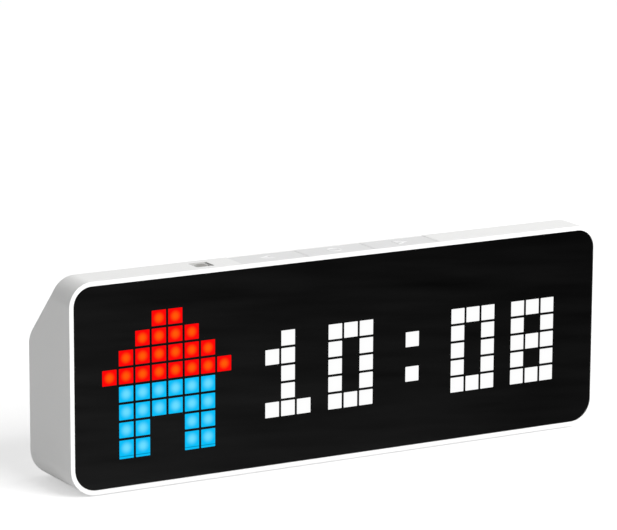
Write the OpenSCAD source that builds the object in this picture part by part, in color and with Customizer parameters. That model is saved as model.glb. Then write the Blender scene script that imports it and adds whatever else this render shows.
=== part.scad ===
// Desk clock with a pixel display. Millimetres, +Z up, the front faces -Y.
// Inside the modules y is the depth behind the front face and z the height above the underside.

/* [Display] */
// Distance between neighbouring pixels
led_pitch = 5.95; // [5.6:0.05:6.3]
// Pixels across
led_cols = 32; // [30:1:36]
// Pixels up
led_rows = 8; // [8:1:10]
// Wall between two light cells
cell_wall = 0.58; // [0.4:0.02:1]
// Depth of a light cell
cell_depth = 5; // [4.4:0.1:5.8]
// Extra height of the cells in the bottom row
bottom_cell_extra = 1; // [0:0.1:1.4]
// Outer wall of the light grid
grid_edge = 1; // [0.8:0.1:1.4]
// Side of one light source
led_size = 3.5; // [2.8:0.1:4.4]
// Height of one light source
led_t = 1.4; // [1:0.1:2]
// Black border beside the pixels
side_border = 3.6; // [3.4:0.1:6]
// Black border above and below the pixels
top_border = 9.85; // [9.6:0.05:13]

/* [Housing] */
// White rim round the window
rim_w = 1.5; // [1.3:0.1:2]
// Overall depth
body_d = 31.9; // [31.5:0.1:36]
// Depth at which the flat top and the slanted back would meet
flat_top_d = 12.9; // [12.4:0.1:15]
// Fall of the slanted back in degrees
slant = 45; // [40:1:48]
// Radius of the upper corners
top_corner_r = 8; // [7:0.1:10]
// Radius of the lower corners
bottom_corner_r = 9.2; // [7:0.1:10]
// Rounding of the rear edges
rear_edge_r = 2.2; // [1:0.1:2.6]
// Rounding between the flat top and the slanted back
break_r = 0.8; // [0.4:0.1:2]
// Wall of the housing
wall = 2.2; // [2.1:0.1:2.6]
// Inner wall that carries the window
bezel_t = 2; // [1.6:0.1:2.2]

/* [Window] */
// Thickness of the window
window_t = 1.5; // [1:0.1:2]
// Depth of the window's face below the rim
window_recess = 0.1; // [0:0.05:0.3]
// Thickness of the tape that holds the window
tape_t = 0.15; // [0.1:0.05:0.4]
// Thickness of the diffuser film
diffuser_t = 0.5; // [0.3:0.05:0.8]

/* [Keys] */
// Length of one key
key_l = 24.8; // [20:0.1:27]
// Groove between two keys
key_gap = 0.2; // [0.15:0.05:0.6]
// Flat top left in front of the keys
key_front = 1; // [0.9:0.1:2]
// Flat top left behind the keys
key_rear_margin = 1; // [0.9:0.1:3]
// Thickness of a key cap
key_plate_t = 0.5; // [0.4:0.05:0.7]
// Depth of the key faces below the top
key_recess = 0.15; // [0:0.05:0.3]
// Travel of every key and of the power button
key_travel = 0.35; // [0.2:0.05:0.4]
// Side of the square well round the light sensor
well_side = 6.6; // [6:0.1:7.4]
// Depth of the square well round the light sensor
well_depth = 0.45; // [0.3:0.05:0.8]
// Distance of the light sensor from the middle
sensor_x = 49.6; // [46:0.1:60]
// Diameter of the light sensor
sensor_d = 4.7; // [4:0.1:5.2]
// Depth of the light sensor below the top
sensor_recess = 0.2; // [0.1:0.05:0.4]
// Size of the raised mark on a key
mark_d = 5; // [4:0.1:6]

/* [Rear] */
// Border of the housing round the rear cover
cover_inset = 4.6; // [4.2:0.1:6]
// Diameter of the power button
power_d = 5; // [4:0.1:6]
// Diameter of a cover screw post
post_d = 6; // [5.6:0.1:7]
// Distance of the cover screws from the side of the housing
post_edge = 8.8; // [8.4:0.1:11]
// Distance of the cover screws from the lower and upper edge of the rear face
post_rise = 10; // [9.5:0.1:12]

/* [Feet] */
// Length of a foot across the clock
foot_w = 14; // [10:1:20]
// Length of a foot front to back
foot_l = 22; // [18:1:24]
// Distance of a foot from the middle
foot_x = 70; // [50:1:76]
// Height that a foot stands proud
foot_proud = 0.6; // [0.4:0.1:1.5]
// Depth of a foot in its recess
foot_sunk = 0.6; // [0.4:0.1:1]

/* [Battery] */
// Free depth between the display board and the battery cells
cell_room = 2.5; // [2.3:0.1:4]
// Length of a battery cell
cell_l = 65; // [60:0.5:66]
// Diameter of a battery wire
wire_d = 1.4; // [1:0.1:1.8]

/* [Boards] */
// Thickness of the circuit boards
board_t = 1.6; // [1:0.1:1.8]
// Gap between the display board and the housing wall
board_gap = 1.8; // [1.7:0.1:2.2]
// Length of the main board
main_l = 72; // [72:1:80]
// Height of the main board above the floor of the housing
main_rise = 4; // [3:0.1:5]
// Free depth between the sounder and the cable socket
buzzer_gap = 1.7; // [0.8:0.1:4]
// Height of the sounder
buzzer_h = 9.5; // [5:0.1:12]
// Width of the flat cable
ribbon_w = 12; // [8:0.5:12]

/* [Hidden] */

$fn = 64;
// Steps of a corner and of a rounded edge of the body
corner_steps = 12;
round_steps = 4;
// Overlap of two solids that are joined
lap = 0.01;
// Length by which a cut runs past the face that it opens
past = 1;

// Clearances
window_gap = 0.1;
grid_gap = 0.25;
cover_gap = 0.15;
key_side_gap = 0.15;
key_floor_gap = 0.1;
button_gap = 0.2;
flange_gap = 0.25;
slot_gap = 0.15;
seat_gap = 0.3;
part_gap = 0.8;
fit_gap = 0.1;
hole_gap = 0.4;
board_space = 1.6;

// Outline of the front, grown from the display
win_w = led_cols * led_pitch + 2 * side_border;
win_h = led_rows * led_pitch + 2 * top_border;
body_w = win_w + 2 * rim_w;
body_h = win_h + 2 * rim_w;
mid_z = body_h / 2;
least_r = 0.5;

// Stack of sheets behind the front
window_back = window_recess + window_t;
pocket_d = window_back + tape_t;
bezel_back = pocket_d + bezel_t;
grid_front = window_back + diffuser_t;
led_front = grid_front + cell_depth;
led_back = led_front + board_t;

// Light grid
grid_w = led_cols * led_pitch - cell_wall + 2 * grid_edge;
grid_top = mid_z + led_rows * led_pitch / 2 - cell_wall / 2 + grid_edge;
grid_low = mid_z - led_rows * led_pitch / 2 + cell_wall / 2 - bottom_cell_extra - grid_edge;

// Rear cover, its seat and its posts
seat_lap = 0.2;
ledge_t = 1.2;
ledge_w = 1.6;
cover_t = wall - seat_lap;
cover_in = body_d - cover_t;
rear_top = body_h - (body_d - flat_top_d) * tan(slant);
post_x = body_w / 2 - post_edge;
post_front = led_back + 5;
post_zs = [post_rise, rear_top - post_rise];
web_t = 2.4;

// Screws: head diameter, head height, shank diameter and shank length
cover_screw = [4.8, 1, 2, 8];
board_screw = [3.6, 1.3, 1.6, 4.6];
boss_d = 4.8;
// Cross recess in a screw head: length, width and depth
drive = [2.6, 0.6, 0.6];

// Display board
board_inset = wall + board_gap;
board_top = body_h - board_inset;
boss_side = 12;
boss_edge = 2.6;
led_boss_x = body_w / 2 - boss_side;
led_boss_z = board_inset + boss_edge;
led_bosses_at = [
  [-led_boss_x, led_boss_z], [0, led_boss_z], [led_boss_x, led_boss_z],
  [-led_boss_x, body_h - led_boss_z], [led_boss_x, body_h - led_boss_z]
];

// Keys: a cap in a shallow seat in the top, and a neck with two hooks through the wall below it
key_pitch = key_l + key_gap;
key_strip = 3 * key_l + 2 * key_gap;
key_rear = flat_top_d - key_rear_margin;
key_w = key_rear - key_front;
key_y = (key_front + key_rear) / 2;
key_r = 0.4;
key_face = body_h - key_recess;
key_plate_z = key_face - key_plate_t;
key_seat_z = key_plate_z - key_travel - key_floor_gap;
key_cut_z = body_h - wall - lap;
neck_short = 2;
neck_rear_in = 1.8;
neck_x = key_l / 2 - neck_short;
neck_front = bezel_back + seat_gap;
neck_rear = key_rear - neck_rear_in;
hook_t = 0.8;
hook_lap = 0.6;
hook_w = 4;
hook_top = body_h - wall - flange_gap;
neck_low = hook_top - hook_t;
mark_line = 0.6;
mark_h = 0.1;
mark_corner = mark_d / 2;

// Side-push switches: width along the board, height along the plunger, depth above the board
switch_w = 4.7;
switch_l = 3.3;
switch_t = 1.7;
plunger_w = 1.8;
plunger_t = 0.8;
plunger_in = 1;
switch_edge = 0.2;
key_switch_top = board_top - switch_edge;
key_plunger_y = led_front - switch_t / 2;

// Light sensor
sensor_y = key_y;
sensor_t = 2;
sensor_flat = 0.88;
sensor_top = body_h - sensor_recess;
well_r = 0.6;
lead_d = 0.5;
lead_space = 3.4;
lead_bend = 0.8;
lead_edge = 2.5;
lead_z = board_top - lead_edge;

// Main board: u runs along it from its left end
main_x = post_x - post_d / 2 - part_gap - main_l;
main_z = wall + main_rise;
main_top = main_z + board_t;
main_front = led_back + board_screw[1] + part_gap;
main_rear = cover_in - 2 * seat_gap;
main_d = main_rear - main_front;
main_hole_in = 3;
main_head_in = main_hole_in + board_screw[0] / 2;
main_holes = [
  for (u = [main_hole_in, main_l - main_hole_in], y = [main_front, main_rear])
    [main_x + u, y == main_front ? y + main_hole_in : y - main_hole_in]
];

// Charging socket and power button at the rear edge of the main board
usb_w = 8.94;
usb_h = 3.26;
usb_l = 7.35;
usb_shell = 0.3;
usb_back = 1;
usb_recess = 0.5;
usb_slot_gap = 0.25;
usb_x = main_x + main_l - main_head_in - part_gap - usb_w / 2;
usb_z = main_top + usb_h / 2;
usb_mouth = body_d - usb_recess;
tongue_w = 6.7;
tongue_t = 0.7;
tongue_recess = 0.6;
power_room = 3;
power_flange = 1;
power_flange_t = 0.8;
power_recess = 0.1;
power_rim = 0.5;
power_dish = 0.25;
dish_r = pow(power_d / 2 - power_rim, 2) / (2 * power_dish) + power_dish / 2;
power_x = usb_x - usb_w / 2 - power_room - power_d / 2 - power_flange;
power_face = body_d - power_recess;
power_seat = cover_in - flange_gap;
power_plunger_l = 0.8;
power_switch_y = power_seat - power_flange_t - power_plunger_l;
power_notch_w = power_d + 2 * power_flange + 2 * part_gap;
power_notch_y = power_switch_y - fit_gap;

// Other parts on the main board
header_w = 6;
header_u = main_head_in + seat_gap + header_w / 2;
header_l = 5;
header_h = 6;
header_wall = 0.6;
plug_proud = 1.5;
wire_space = 2.2;
socket_end = 1.5;
socket_w = ribbon_w + 2 * socket_end;
socket_u = header_u + header_w / 2 + board_space + socket_w / 2;
lower_socket_t = 3;
lower_socket_h = 4;
radio_w = 16.6;
radio_l = 13.2;
radio_t = 0.8;
radio_u = socket_u + socket_w / 2 + board_space + radio_w / 2;
can_w = radio_w * 0.66;
can_l = radio_l * 0.9;
can_h = 2.4;
can_r = 0.6;
can_edge = 0.5;
buzzer_hole = 2.4;
buzzer_lid = 1;

// Chips on the main board: length, width and height
charger = [4, 4, 0.9];
coil = [5, 5, 2.4];
clock_chip = [5, 4, 1.5];
driver = [3, 3, 0.9];
front_row = main_front + main_d * 0.25;
rear_row = main_front + main_d * 0.54;
charger_u = radio_u + radio_w / 2 + board_space + clock_chip[0] / 2;
coil_u = charger_u + clock_chip[0] / 2 + board_space + coil[0] / 2;
driver_u = coil_u + coil[0] / 2 + board_space + driver[0] / 2;

// Battery: the cells fill the depth between the display board and the cover
cell_d = cover_in - seat_gap - led_back - cell_room;
cell_r = cell_d / 2;
cell_space = 0.4;
nub_d = 7;
nub_h = 0.8;
tab_room = 2.5;
cell_x = -(post_x - post_d / 2 - tab_room);
cell_y = cover_in - seat_gap - cell_r;
low_cell_z = wall + seat_gap + cell_r;
high_cell_z = low_cell_z + cell_d + cell_space;
tab_t = 0.2;
tab_half = 4;
saddle_t = 2;
saddle_gap = 0.15;
saddle_in = cell_l * 0.18;
saddles_at = [cell_x + saddle_in, cell_x + cell_l - saddle_in];
wire_z = (low_cell_z + high_cell_z) / 2;
wire_in = cell_d / 8;
black_y = cell_y - cell_r + wire_in;
red_y = black_y + wire_space;
plug_x = main_x + header_u;
plug_top = main_top + header_h + plug_proud;
wire_bend = (wire_z - plug_top) * 0.7;

// Flat cable from the display board down to the main board
upper_socket_t = 2.2;
upper_socket_h = 4.5;
ribbon_t = 0.3;
ribbon_x = main_x + socket_u;
ribbon_high_y = led_back + upper_socket_t / 2;
ribbon_rise = 9;
ribbon_low_y = main_front + part_gap + lower_socket_t / 2;
ribbon_low_z = main_top + lower_socket_h;
ribbon_high_z = ribbon_low_z + ribbon_rise;
ribbon_step = ribbon_low_y - ribbon_high_y;
ribbon_r = ribbon_step * 0.8;
ribbon_turn = acos(1 - ribbon_step / (2 * ribbon_r));
ribbon_run = ribbon_rise / 2 - ribbon_r * sin(ribbon_turn);
ribbon_lap_turn = 1;

// Sounder behind the cable socket
buzzer_d = main_rear - part_gap - buzzer_gap - ribbon_low_y - lower_socket_t / 2;

// Height of the outer skin, moved in by a wall, at a depth
function roof(y, inset) =
  min(body_h - inset, body_h - (y - flat_top_d) * tan(slant) - inset / cos(slant));

// Moves a piece from the working axes to the origin under the middle of the feet
module placed() {
  translate([0, -body_d / 2, foot_proud]) children();
}

// Extrudes a front view between two depths
module slab(y0, y1) {
  translate([0, y1, 0]) rotate([90, 0, 0]) linear_extrude(y1 - y0) children();
}

// Extrudes a plan view between two heights
module plate(z0, z1) {
  translate([0, 0, z0]) linear_extrude(z1 - z0) children();
}

// The four corner rounds of the front view, moved in by an inset
module corner_rounds(inset, top) {
  low_r = max(bottom_corner_r - inset, least_r);
  high_r = max(top_corner_r - inset, least_r);
  for (side = [-1, 1]) {
    translate([side * (body_w / 2 - inset - low_r), inset + low_r]) circle(low_r);
    translate([side * (body_w / 2 - inset - high_r), top - high_r]) circle(high_r);
  }
}

// The front view, moved in by an inset
module front_view(inset) {
  low_r = max(bottom_corner_r - inset, least_r);
  high_r = max(top_corner_r - inset, least_r);
  w = body_w - 2 * inset;
  h = body_h - 2 * inset;
  corner_rounds(inset, body_h - inset);
  translate([-w / 2, inset + low_r]) square([w, h - low_r - high_r]);
  translate([-w / 2 + low_r, inset]) square([w - 2 * low_r, low_r + lap]);
  translate([-w / 2 + high_r, body_h - inset - high_r - lap]) square([w - 2 * high_r, high_r + lap]);
}

// One ring of points round the body at a depth: corner by corner, moved in by an inset
function ring(y, inset, top) = [
  for (corner = [0:3], step = [0:corner_steps])
    let (
      low = corner == 0 || corner == 3,
      r = max((low ? bottom_corner_r : top_corner_r) - inset, least_r),
      turn = 90 * (corner - 1 + step / corner_steps),
      x = (corner < 2 ? 1 : -1) * (body_w / 2 - inset - r),
      z = low ? inset + r : top - r
    )
    [x + r * cos(turn), y, z + r * sin(turn)]
];

// The body's outer form, moved in by an inset, from a depth to the rear
module loft(inset, y_start, edge_r, top_r) {
  break_y = flat_top_d - (inset + top_r) * tan(slant / 2);
  top_steps = top_r > 0 ? round_steps : 0;
  edge_steps = edge_r > 0 ? round_steps : 0;
  rings = [
    ring(y_start, inset, body_h - inset),
    for (step = [0:top_steps])
      let (turn = top_steps > 0 ? slant * step / top_steps : 0)
      ring(break_y + top_r * sin(turn), inset, body_h - inset - top_r * (1 - cos(turn))),
    for (step = [0:edge_steps])
      let (
        turn = edge_steps > 0 ? 90 * step / edge_steps : 0,
        drop = edge_r * (1 - cos(turn)),
        y = body_d - inset - edge_r * (1 - sin(turn))
      )
      ring(y, inset + drop, roof(y, inset) - drop)
  ];
  n = len(rings[0]);
  last = (len(rings) - 1) * n;
  polyhedron(
    points = [for (r = rings) each r],
    faces = [
      [for (i = [n - 1:-1:0]) i],
      for (k = [0:len(rings) - 2], i = [0:n - 1])
        let (a = k * n + i, b = k * n + (i + 1) % n)
        each [[a, b, b + n], [a, b + n, a + n]],
      [for (i = [0:n - 1]) last + i]
    ]
  );
}

// A rectangle with round corners, centred
module round_rect(w, h, r) {
  square([w - 2 * r, h], center = true);
  square([w, h - 2 * r], center = true);
  for (x = [-1, 1], y = [-1, 1])
    translate([x * (w / 2 - r), y * (h / 2 - r)]) circle(r);
}

// A slot with round ends, centred
module stadium(w, h) {
  square([w - h, h], center = true);
  for (side = [-1, 1])
    translate([side * (w - h) / 2, 0]) circle(d = h);
}

// A block between two corners
module block(low, high) {
  translate(low) cube(high - low);
}

// A screw along z with the underside of its head at zero
module screw(size) {
  cylinder(d = size[0], h = size[1]);
  translate([0, 0, -size[3]]) cylinder(d = size[2], h = size[3] + lap);
}

// A cylinder along y between two depths
module rod_y(d, y0, y1) {
  translate([0, y0, 0]) rotate([-90, 0, 0]) cylinder(d = d, h = y1 - y0);
}

// Front view of the light grid without its cells
module grid_view(gap) {
  translate([-grid_w / 2 - gap, grid_low - gap])
    square([grid_w + 2 * gap, grid_top - grid_low + 2 * gap]);
}

// Places a child at the middle of every pixel, in the front view
module each_pixel(rows) {
  for (row = rows, col = [0:led_cols - 1])
    translate([0, mid_z] + led_pitch * [col - (led_cols - 1) / 2, (led_rows - 1) / 2 - row]) children();
}

// White shell before its inner walls are added
module shell() {
  difference() {
    loft(0, 0, rear_edge_r, break_r);
    loft(wall, bezel_back, 0, 0);
    slab(bezel_back + past, body_d + past) front_view(cover_inset - cover_gap);
  }
}

// Ledge inside the rear opening that the cover lies on
module cover_ledge() {
  intersection() {
    difference() {
      loft(cover_t, bezel_back, 0, 0);
      loft(wall + ledge_t, bezel_back, 0, 0);
    }
    slab(bezel_back + past, body_d) difference() {
      front_view(wall + ledge_t + seat_gap);
      front_view(cover_inset + ledge_w);
    }
  }
}

// Posts for the cover screws, each tied to the side wall by a web
module cover_posts() {
  for (side = [-1, 1], z = post_zs) {
    translate([side * post_x, 0, z]) rod_y(post_d, post_front, cover_in);
    web_w = body_w / 2 - wall + seat_lap - post_x;
    translate([side > 0 ? post_x : -post_x - web_w, post_front, z - web_t / 2])
      cube([web_w, cover_in - ledge_t - post_front, web_t]);
  }
}

// Comb-shaped walls that the battery cells lie in
module battery_saddles() {
  for (x = saddles_at)
    difference() {
      block([x - saddle_t / 2, led_back + part_gap, wall - seat_lap],
            [x + saddle_t / 2, cell_y, high_cell_z + cell_r / 2]);
      for (z = [low_cell_z, high_cell_z])
        translate([x - saddle_t, cell_y, z]) rotate([0, 90, 0])
          cylinder(r = cell_r + saddle_gap, h = 2 * saddle_t);
      translate([x - saddle_t, black_y, wire_z]) rotate([0, 90, 0])
        cylinder(d = wire_d + 2 * seat_gap, h = 2 * saddle_t);
    }
}

module main_housing() {
  color("white") placed() difference() {
    union() {
      shell();
      cover_ledge();
      cover_posts();
      battery_saddles();
      for (p = led_bosses_at)
        translate([p[0], 0, p[1]]) rod_y(boss_d, bezel_back - seat_lap, led_front);
      for (p = main_holes)
        translate([p[0], p[1], wall - seat_lap]) cylinder(d = boss_d, h = main_rise + seat_lap);
    }
    slab(-past, pocket_d) front_view(rim_w);
    slab(0, bezel_back + past) grid_view(grid_gap);
    for (p = led_bosses_at)
      translate([p[0], 0, p[1]])
        rod_y(board_screw[2] + fit_gap, led_back - board_screw[3] - fit_gap, led_front + past);
    for (p = main_holes)
      translate([p[0], p[1], main_top - board_screw[3] - fit_gap])
        cylinder(d = board_screw[2] + fit_gap, h = board_screw[3]);
    for (side = [-1, 1], z = post_zs)
      translate([side * post_x, cover_in - cover_screw[3], z])
        rod_y(cover_screw[2] + fit_gap, 0, cover_screw[3] + past);
    translate([power_x, 0, usb_z])
      rod_y(power_d + 2 * (power_flange + seat_gap), power_switch_y, cover_in);
    translate([0, key_y, 0]) plate(key_seat_z, body_h + past)
      round_rect(key_strip + 2 * key_side_gap, key_w + 2 * key_side_gap, key_r + key_side_gap);
    for (place = [-1:1])
      translate([place * key_pitch, 0, 0])
        block([-neck_x - key_side_gap, neck_front - key_side_gap, key_cut_z],
              [neck_x + key_side_gap, neck_rear + key_side_gap, body_h]);
    translate([-sensor_x, sensor_y, 0]) {
      plate(body_h - well_depth, body_h + past) round_rect(well_side, well_side, well_r);
      plate(key_cut_z, body_h) circle(d = sensor_d + 2 * seat_gap);
    }
    for (side = [-1, 1])
      translate([side * foot_x, body_d / 2, 0]) plate(-past, foot_sunk)
        round_rect(foot_w + 2 * fit_gap, foot_l + 2 * fit_gap, foot_w / 4);
  }
}

module rear_cover() {
  color("whitesmoke") placed() difference() {
    intersection() {
      loft(0, 0, rear_edge_r, break_r);
      slab(bezel_back + past, body_d + past) front_view(cover_inset);
    }
    loft(cover_t, bezel_back, 0, 0);
    translate([usb_x, 0, usb_z]) slab(cover_in - past, body_d + past)
      stadium(usb_w + 2 * usb_slot_gap, usb_h + 2 * usb_slot_gap);
    translate([power_x, 0, usb_z]) rod_y(power_d + 2 * button_gap, cover_in - past, body_d + past);
    for (side = [-1, 1], z = post_zs)
      translate([side * post_x, 0, z]) {
        rod_y(cover_screw[2] + hole_gap, cover_in - past, body_d + past);
        rod_y(cover_screw[0] + hole_gap, body_d - cover_screw[1], body_d + past);
      }
  }
}

module cover_screws() {
  color("dimgray") placed()
    for (side = [-1, 1], z = post_zs)
      translate([side * post_x, body_d - cover_screw[1], z]) rotate([-90, 0, 0])
        difference() {
          screw(cover_screw);
          translate([0, 0, cover_screw[1] - drive[2]]) linear_extrude(drive[2] + past) {
            square([drive[0], drive[1]], center = true);
            square([drive[1], drive[0]], center = true);
          }
        }
}

module front_window() {
  color("black") placed() slab(window_recess, window_back) front_view(rim_w + window_gap);
}

module window_tape() {
  color("dimgray") placed() slab(window_back, pocket_d) difference() {
    front_view(rim_w + 2 * window_gap);
    grid_view(2 * grid_gap);
  }
}

module diffuser_sheet() {
  color("white") placed() slab(window_back, grid_front) grid_view(0);
}

module light_grid() {
  cell = led_pitch - cell_wall;
  color("black") placed() slab(grid_front, led_front) difference() {
    grid_view(0);
    each_pixel([0:led_rows - 2]) square(cell, center = true);
    each_pixel([led_rows - 1])
      translate([-cell / 2, -cell / 2 - bottom_cell_extra]) square([cell, cell + bottom_cell_extra]);
  }
}

module led_board() {
  color("darkgreen") placed() slab(led_front, led_back) difference() {
    front_view(board_inset);
    for (p = led_bosses_at)
      translate(p) circle(d = board_screw[2] + hole_gap);
    for (side = [-1, 1])
      translate([-sensor_x + side * lead_space / 2, lead_z]) circle(d = lead_d + 2 * fit_gap);
  }
}

module leds() {
  color("ivory") placed() slab(led_front - led_t, led_front)
    each_pixel([0:led_rows - 1]) square(led_size, center = true);
}

module led_board_screws() {
  color("silver") placed()
    for (p = led_bosses_at)
      translate([p[0], led_back, p[1]]) rotate([-90, 0, 0]) screw(board_screw);
}

// Outline of a key's raised mark: an arrow head to either side, or a ring in the middle
module key_mark(place) {
  difference() {
    if (place == 0) circle(d = mark_d);
    else rotate(90 - 90 * place) circle(mark_corner, $fn = 3);
    if (place == 0) circle(d = mark_d - 2 * mark_line);
    else rotate(90 - 90 * place) circle(mark_corner - 2 * mark_line, $fn = 3);
  }
}

// A snap hook at the end of a key's neck, with a slope that eases it through the wall
module key_hook() {
  reach = key_side_gap + hook_lap;
  slab(-hook_w / 2, hook_w / 2)
    polygon([[-lap, 0], [0, 0], [reach, hook_t / 2], [reach, hook_t], [-lap, hook_t]]);
}

// A key cap with its mark, its neck and the hooks that keep it in the housing
module key(place) {
  color("gainsboro") placed() translate([place * key_pitch, 0, 0]) {
    translate([0, key_y, 0]) {
      plate(key_face - lap, key_face + mark_h) key_mark(place);
      plate(key_plate_z, key_face) round_rect(key_l, key_w, key_r);
    }
    block([-neck_x, neck_front, neck_low], [neck_x, neck_rear, key_plate_z + lap]);
    translate([0, (neck_front + neck_rear) / 2, neck_low])
      for (side = [0, 1])
        mirror([side, 0, 0]) translate([neck_x, 0, 0]) key_hook();
  }
}

module left_key() {
  key(-1);
}

module select_key() {
  key(0);
}

module right_key() {
  key(1);
}

// A switch body along z with its plunger slot at the top end, centred on its depth
module switch_body() {
  difference() {
    translate([-switch_w / 2, -switch_t / 2, -switch_l]) cube([switch_w, switch_t, switch_l]);
    slot_w = plunger_w + 2 * slot_gap;
    slot_t = plunger_t + 2 * slot_gap;
    slot_d = plunger_in + key_travel + seat_gap;
    translate([-slot_w / 2, -slot_t / 2, -slot_d]) cube([slot_w, slot_t, slot_d + past]);
  }
}

// A plunger along z that stands out of its switch
module plunger(proud) {
  translate([-plunger_w / 2, -plunger_t / 2, -plunger_in])
    cube([plunger_w, plunger_t, plunger_in + proud]);
}

module key_switches() {
  color("silver") placed()
    for (place = [-1:1])
      translate([place * key_pitch, key_plunger_y, key_switch_top]) switch_body();
}

module key_plunger(place) {
  color("black") placed()
    translate([place * key_pitch, key_plunger_y, key_switch_top]) plunger(neck_low - key_switch_top);
}

module left_plunger() {
  key_plunger(-1);
}

module select_plunger() {
  key_plunger(0);
}

module right_plunger() {
  key_plunger(1);
}

module light_sensor() {
  color("dimgray") placed() translate([-sensor_x, 0, 0]) {
    translate([0, sensor_y, 0]) plate(sensor_top - sensor_t, sensor_top) intersection() {
      circle(d = sensor_d);
      square([sensor_d, sensor_d * sensor_flat], center = true);
    }
    for (side = [-1, 1])
      translate([side * lead_space / 2, 0, 0]) {
        translate([0, sensor_y, lead_z + lead_bend])
          cylinder(d = lead_d, h = sensor_top - sensor_t / 2 - lead_z - lead_bend);
        translate([0, sensor_y + lead_bend, lead_z + lead_bend])
          rotate([90, 0, 90]) rotate([0, 0, 180])
          rotate_extrude(angle = 90) translate([lead_bend, 0]) circle(d = lead_d);
        translate([0, 0, lead_z]) rod_y(lead_d, sensor_y + lead_bend, led_back + lead_bend);
      }
  }
}

module main_board() {
  color("darkgreen") placed() plate(main_z, main_top) difference() {
    translate([main_x, main_front]) square([main_l, main_rear - main_front]);
    for (p = main_holes)
      translate(p) circle(d = board_screw[2] + hole_gap);
    translate([power_x - power_notch_w / 2, power_notch_y]) square([power_notch_w, main_rear]);
  }
}

module main_board_screws() {
  color("silver") placed()
    for (p = main_holes)
      translate([p[0], p[1], main_top]) screw(board_screw);
}

module radio_module() {
  color("silver") placed() translate([main_x + radio_u, main_front + seat_gap + radio_l / 2, main_top]) {
    plate(0, radio_t) square([radio_w, radio_l], center = true);
    translate([(radio_w - can_w) / 2 - can_edge, 0, 0]) plate(radio_t - lap, can_h)
      round_rect(can_w, can_l, can_r);
  }
}

// A chip on the main board
module chip(u, y, size) {
  translate([main_x + u, y, main_top]) plate(0, size[2]) square([size[0], size[1]], center = true);
}

module board_chips() {
  color("black") placed() {
    chip(charger_u, front_row, charger);
    chip(charger_u, rear_row, clock_chip);
    chip(coil_u, front_row, coil);
    chip(driver_u, rear_row, driver);
  }
}

module usb_socket() {
  color("silver") placed() translate([usb_x, 0, usb_z]) {
    slab(usb_mouth - usb_l, usb_mouth) difference() {
      stadium(usb_w, usb_h);
      stadium(usb_w - 2 * usb_shell, usb_h - 2 * usb_shell);
    }
    slab(usb_mouth - usb_l, usb_mouth - usb_l + usb_back) stadium(usb_w - usb_shell, usb_h - usb_shell);
    slab(usb_mouth - usb_l, usb_mouth - tongue_recess) square([tongue_w, tongue_t], center = true);
  }
}

module buzzer() {
  color("black") placed()
    translate([ribbon_x, main_rear - part_gap - buzzer_d / 2, main_top]) difference() {
      cylinder(d = buzzer_d, h = buzzer_h);
      translate([0, 0, buzzer_h - buzzer_lid]) cylinder(d = buzzer_hole, h = buzzer_lid + past);
    }
}

module power_button() {
  color("gainsboro") placed() translate([power_x, 0, usb_z]) {
    difference() {
      rod_y(power_d, power_seat - power_flange_t, power_face);
      translate([0, power_face - power_dish + dish_r, 0]) sphere(dish_r);
    }
    rod_y(power_d + 2 * power_flange, power_seat - power_flange_t, power_seat);
  }
}

module power_switch() {
  color("silver") placed()
    translate([power_x, power_switch_y, main_top + switch_t / 2]) rotate([-90, 0, 0]) switch_body();
}

module power_plunger() {
  color("black") placed()
    translate([power_x, power_switch_y, main_top + switch_t / 2]) rotate([-90, 0, 0])
      plunger(power_plunger_l);
}

// A cell lies along x with its positive nub to the right
module battery_cell(z) {
  color("steelblue") placed() translate([cell_x, cell_y, z]) rotate([0, 90, 0]) {
    cylinder(d = cell_d, h = cell_l - nub_h);
    cylinder(d = nub_d, h = cell_l);
  }
}

module lower_cell() {
  battery_cell(low_cell_z);
}

module upper_cell() {
  battery_cell(high_cell_z);
}

// Nickel strips across the ends of both cells, each with an ear for its wire
module battery_tabs() {
  color("silver") placed()
    for (end = [[cell_x - tab_t, black_y], [cell_x + cell_l, red_y]]) {
      block([end[0], cell_y - tab_half, low_cell_z - tab_half],
            [end[0] + tab_t, cell_y + tab_half, high_cell_z + tab_half]);
      block([end[0], end[1] - wire_d / 2, wire_z - tab_half / 2],
            [end[0] + tab_t, cell_y, wire_z + tab_half / 2]);
    }
}

// One wire along x that bends down into the plug
module battery_wire(x_start, y) {
  translate([x_start, y, wire_z]) rotate([0, 90, 0])
    cylinder(d = wire_d, h = plug_x - wire_bend - x_start);
  translate([plug_x - wire_bend, y, wire_z - wire_bend]) rotate([90, 0, 0])
    rotate_extrude(angle = 90) translate([wire_bend, 0]) circle(d = wire_d);
  translate([plug_x, y, plug_top]) cylinder(d = wire_d, h = wire_z - wire_bend - plug_top);
}

module battery_lead() {
  color("firebrick") placed() {
    battery_wire(cell_x, black_y);
    battery_wire(cell_x + cell_l + tab_t, red_y);
  }
}

// Plan view of the battery connector
module header_view(inset) {
  translate([plug_x, (black_y + red_y) / 2])
    square([header_w - 2 * inset, header_l - 2 * inset], center = true);
}

module battery_header() {
  color("ivory") placed() difference() {
    plate(main_top, main_top + header_h) header_view(0);
    plate(main_top + header_wall, main_top + header_h + past) header_view(header_wall);
  }
}

module battery_plug() {
  color("ivory") placed()
    plate(main_top + header_wall, main_top + header_h + plug_proud) header_view(header_wall + fit_gap);
}

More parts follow.
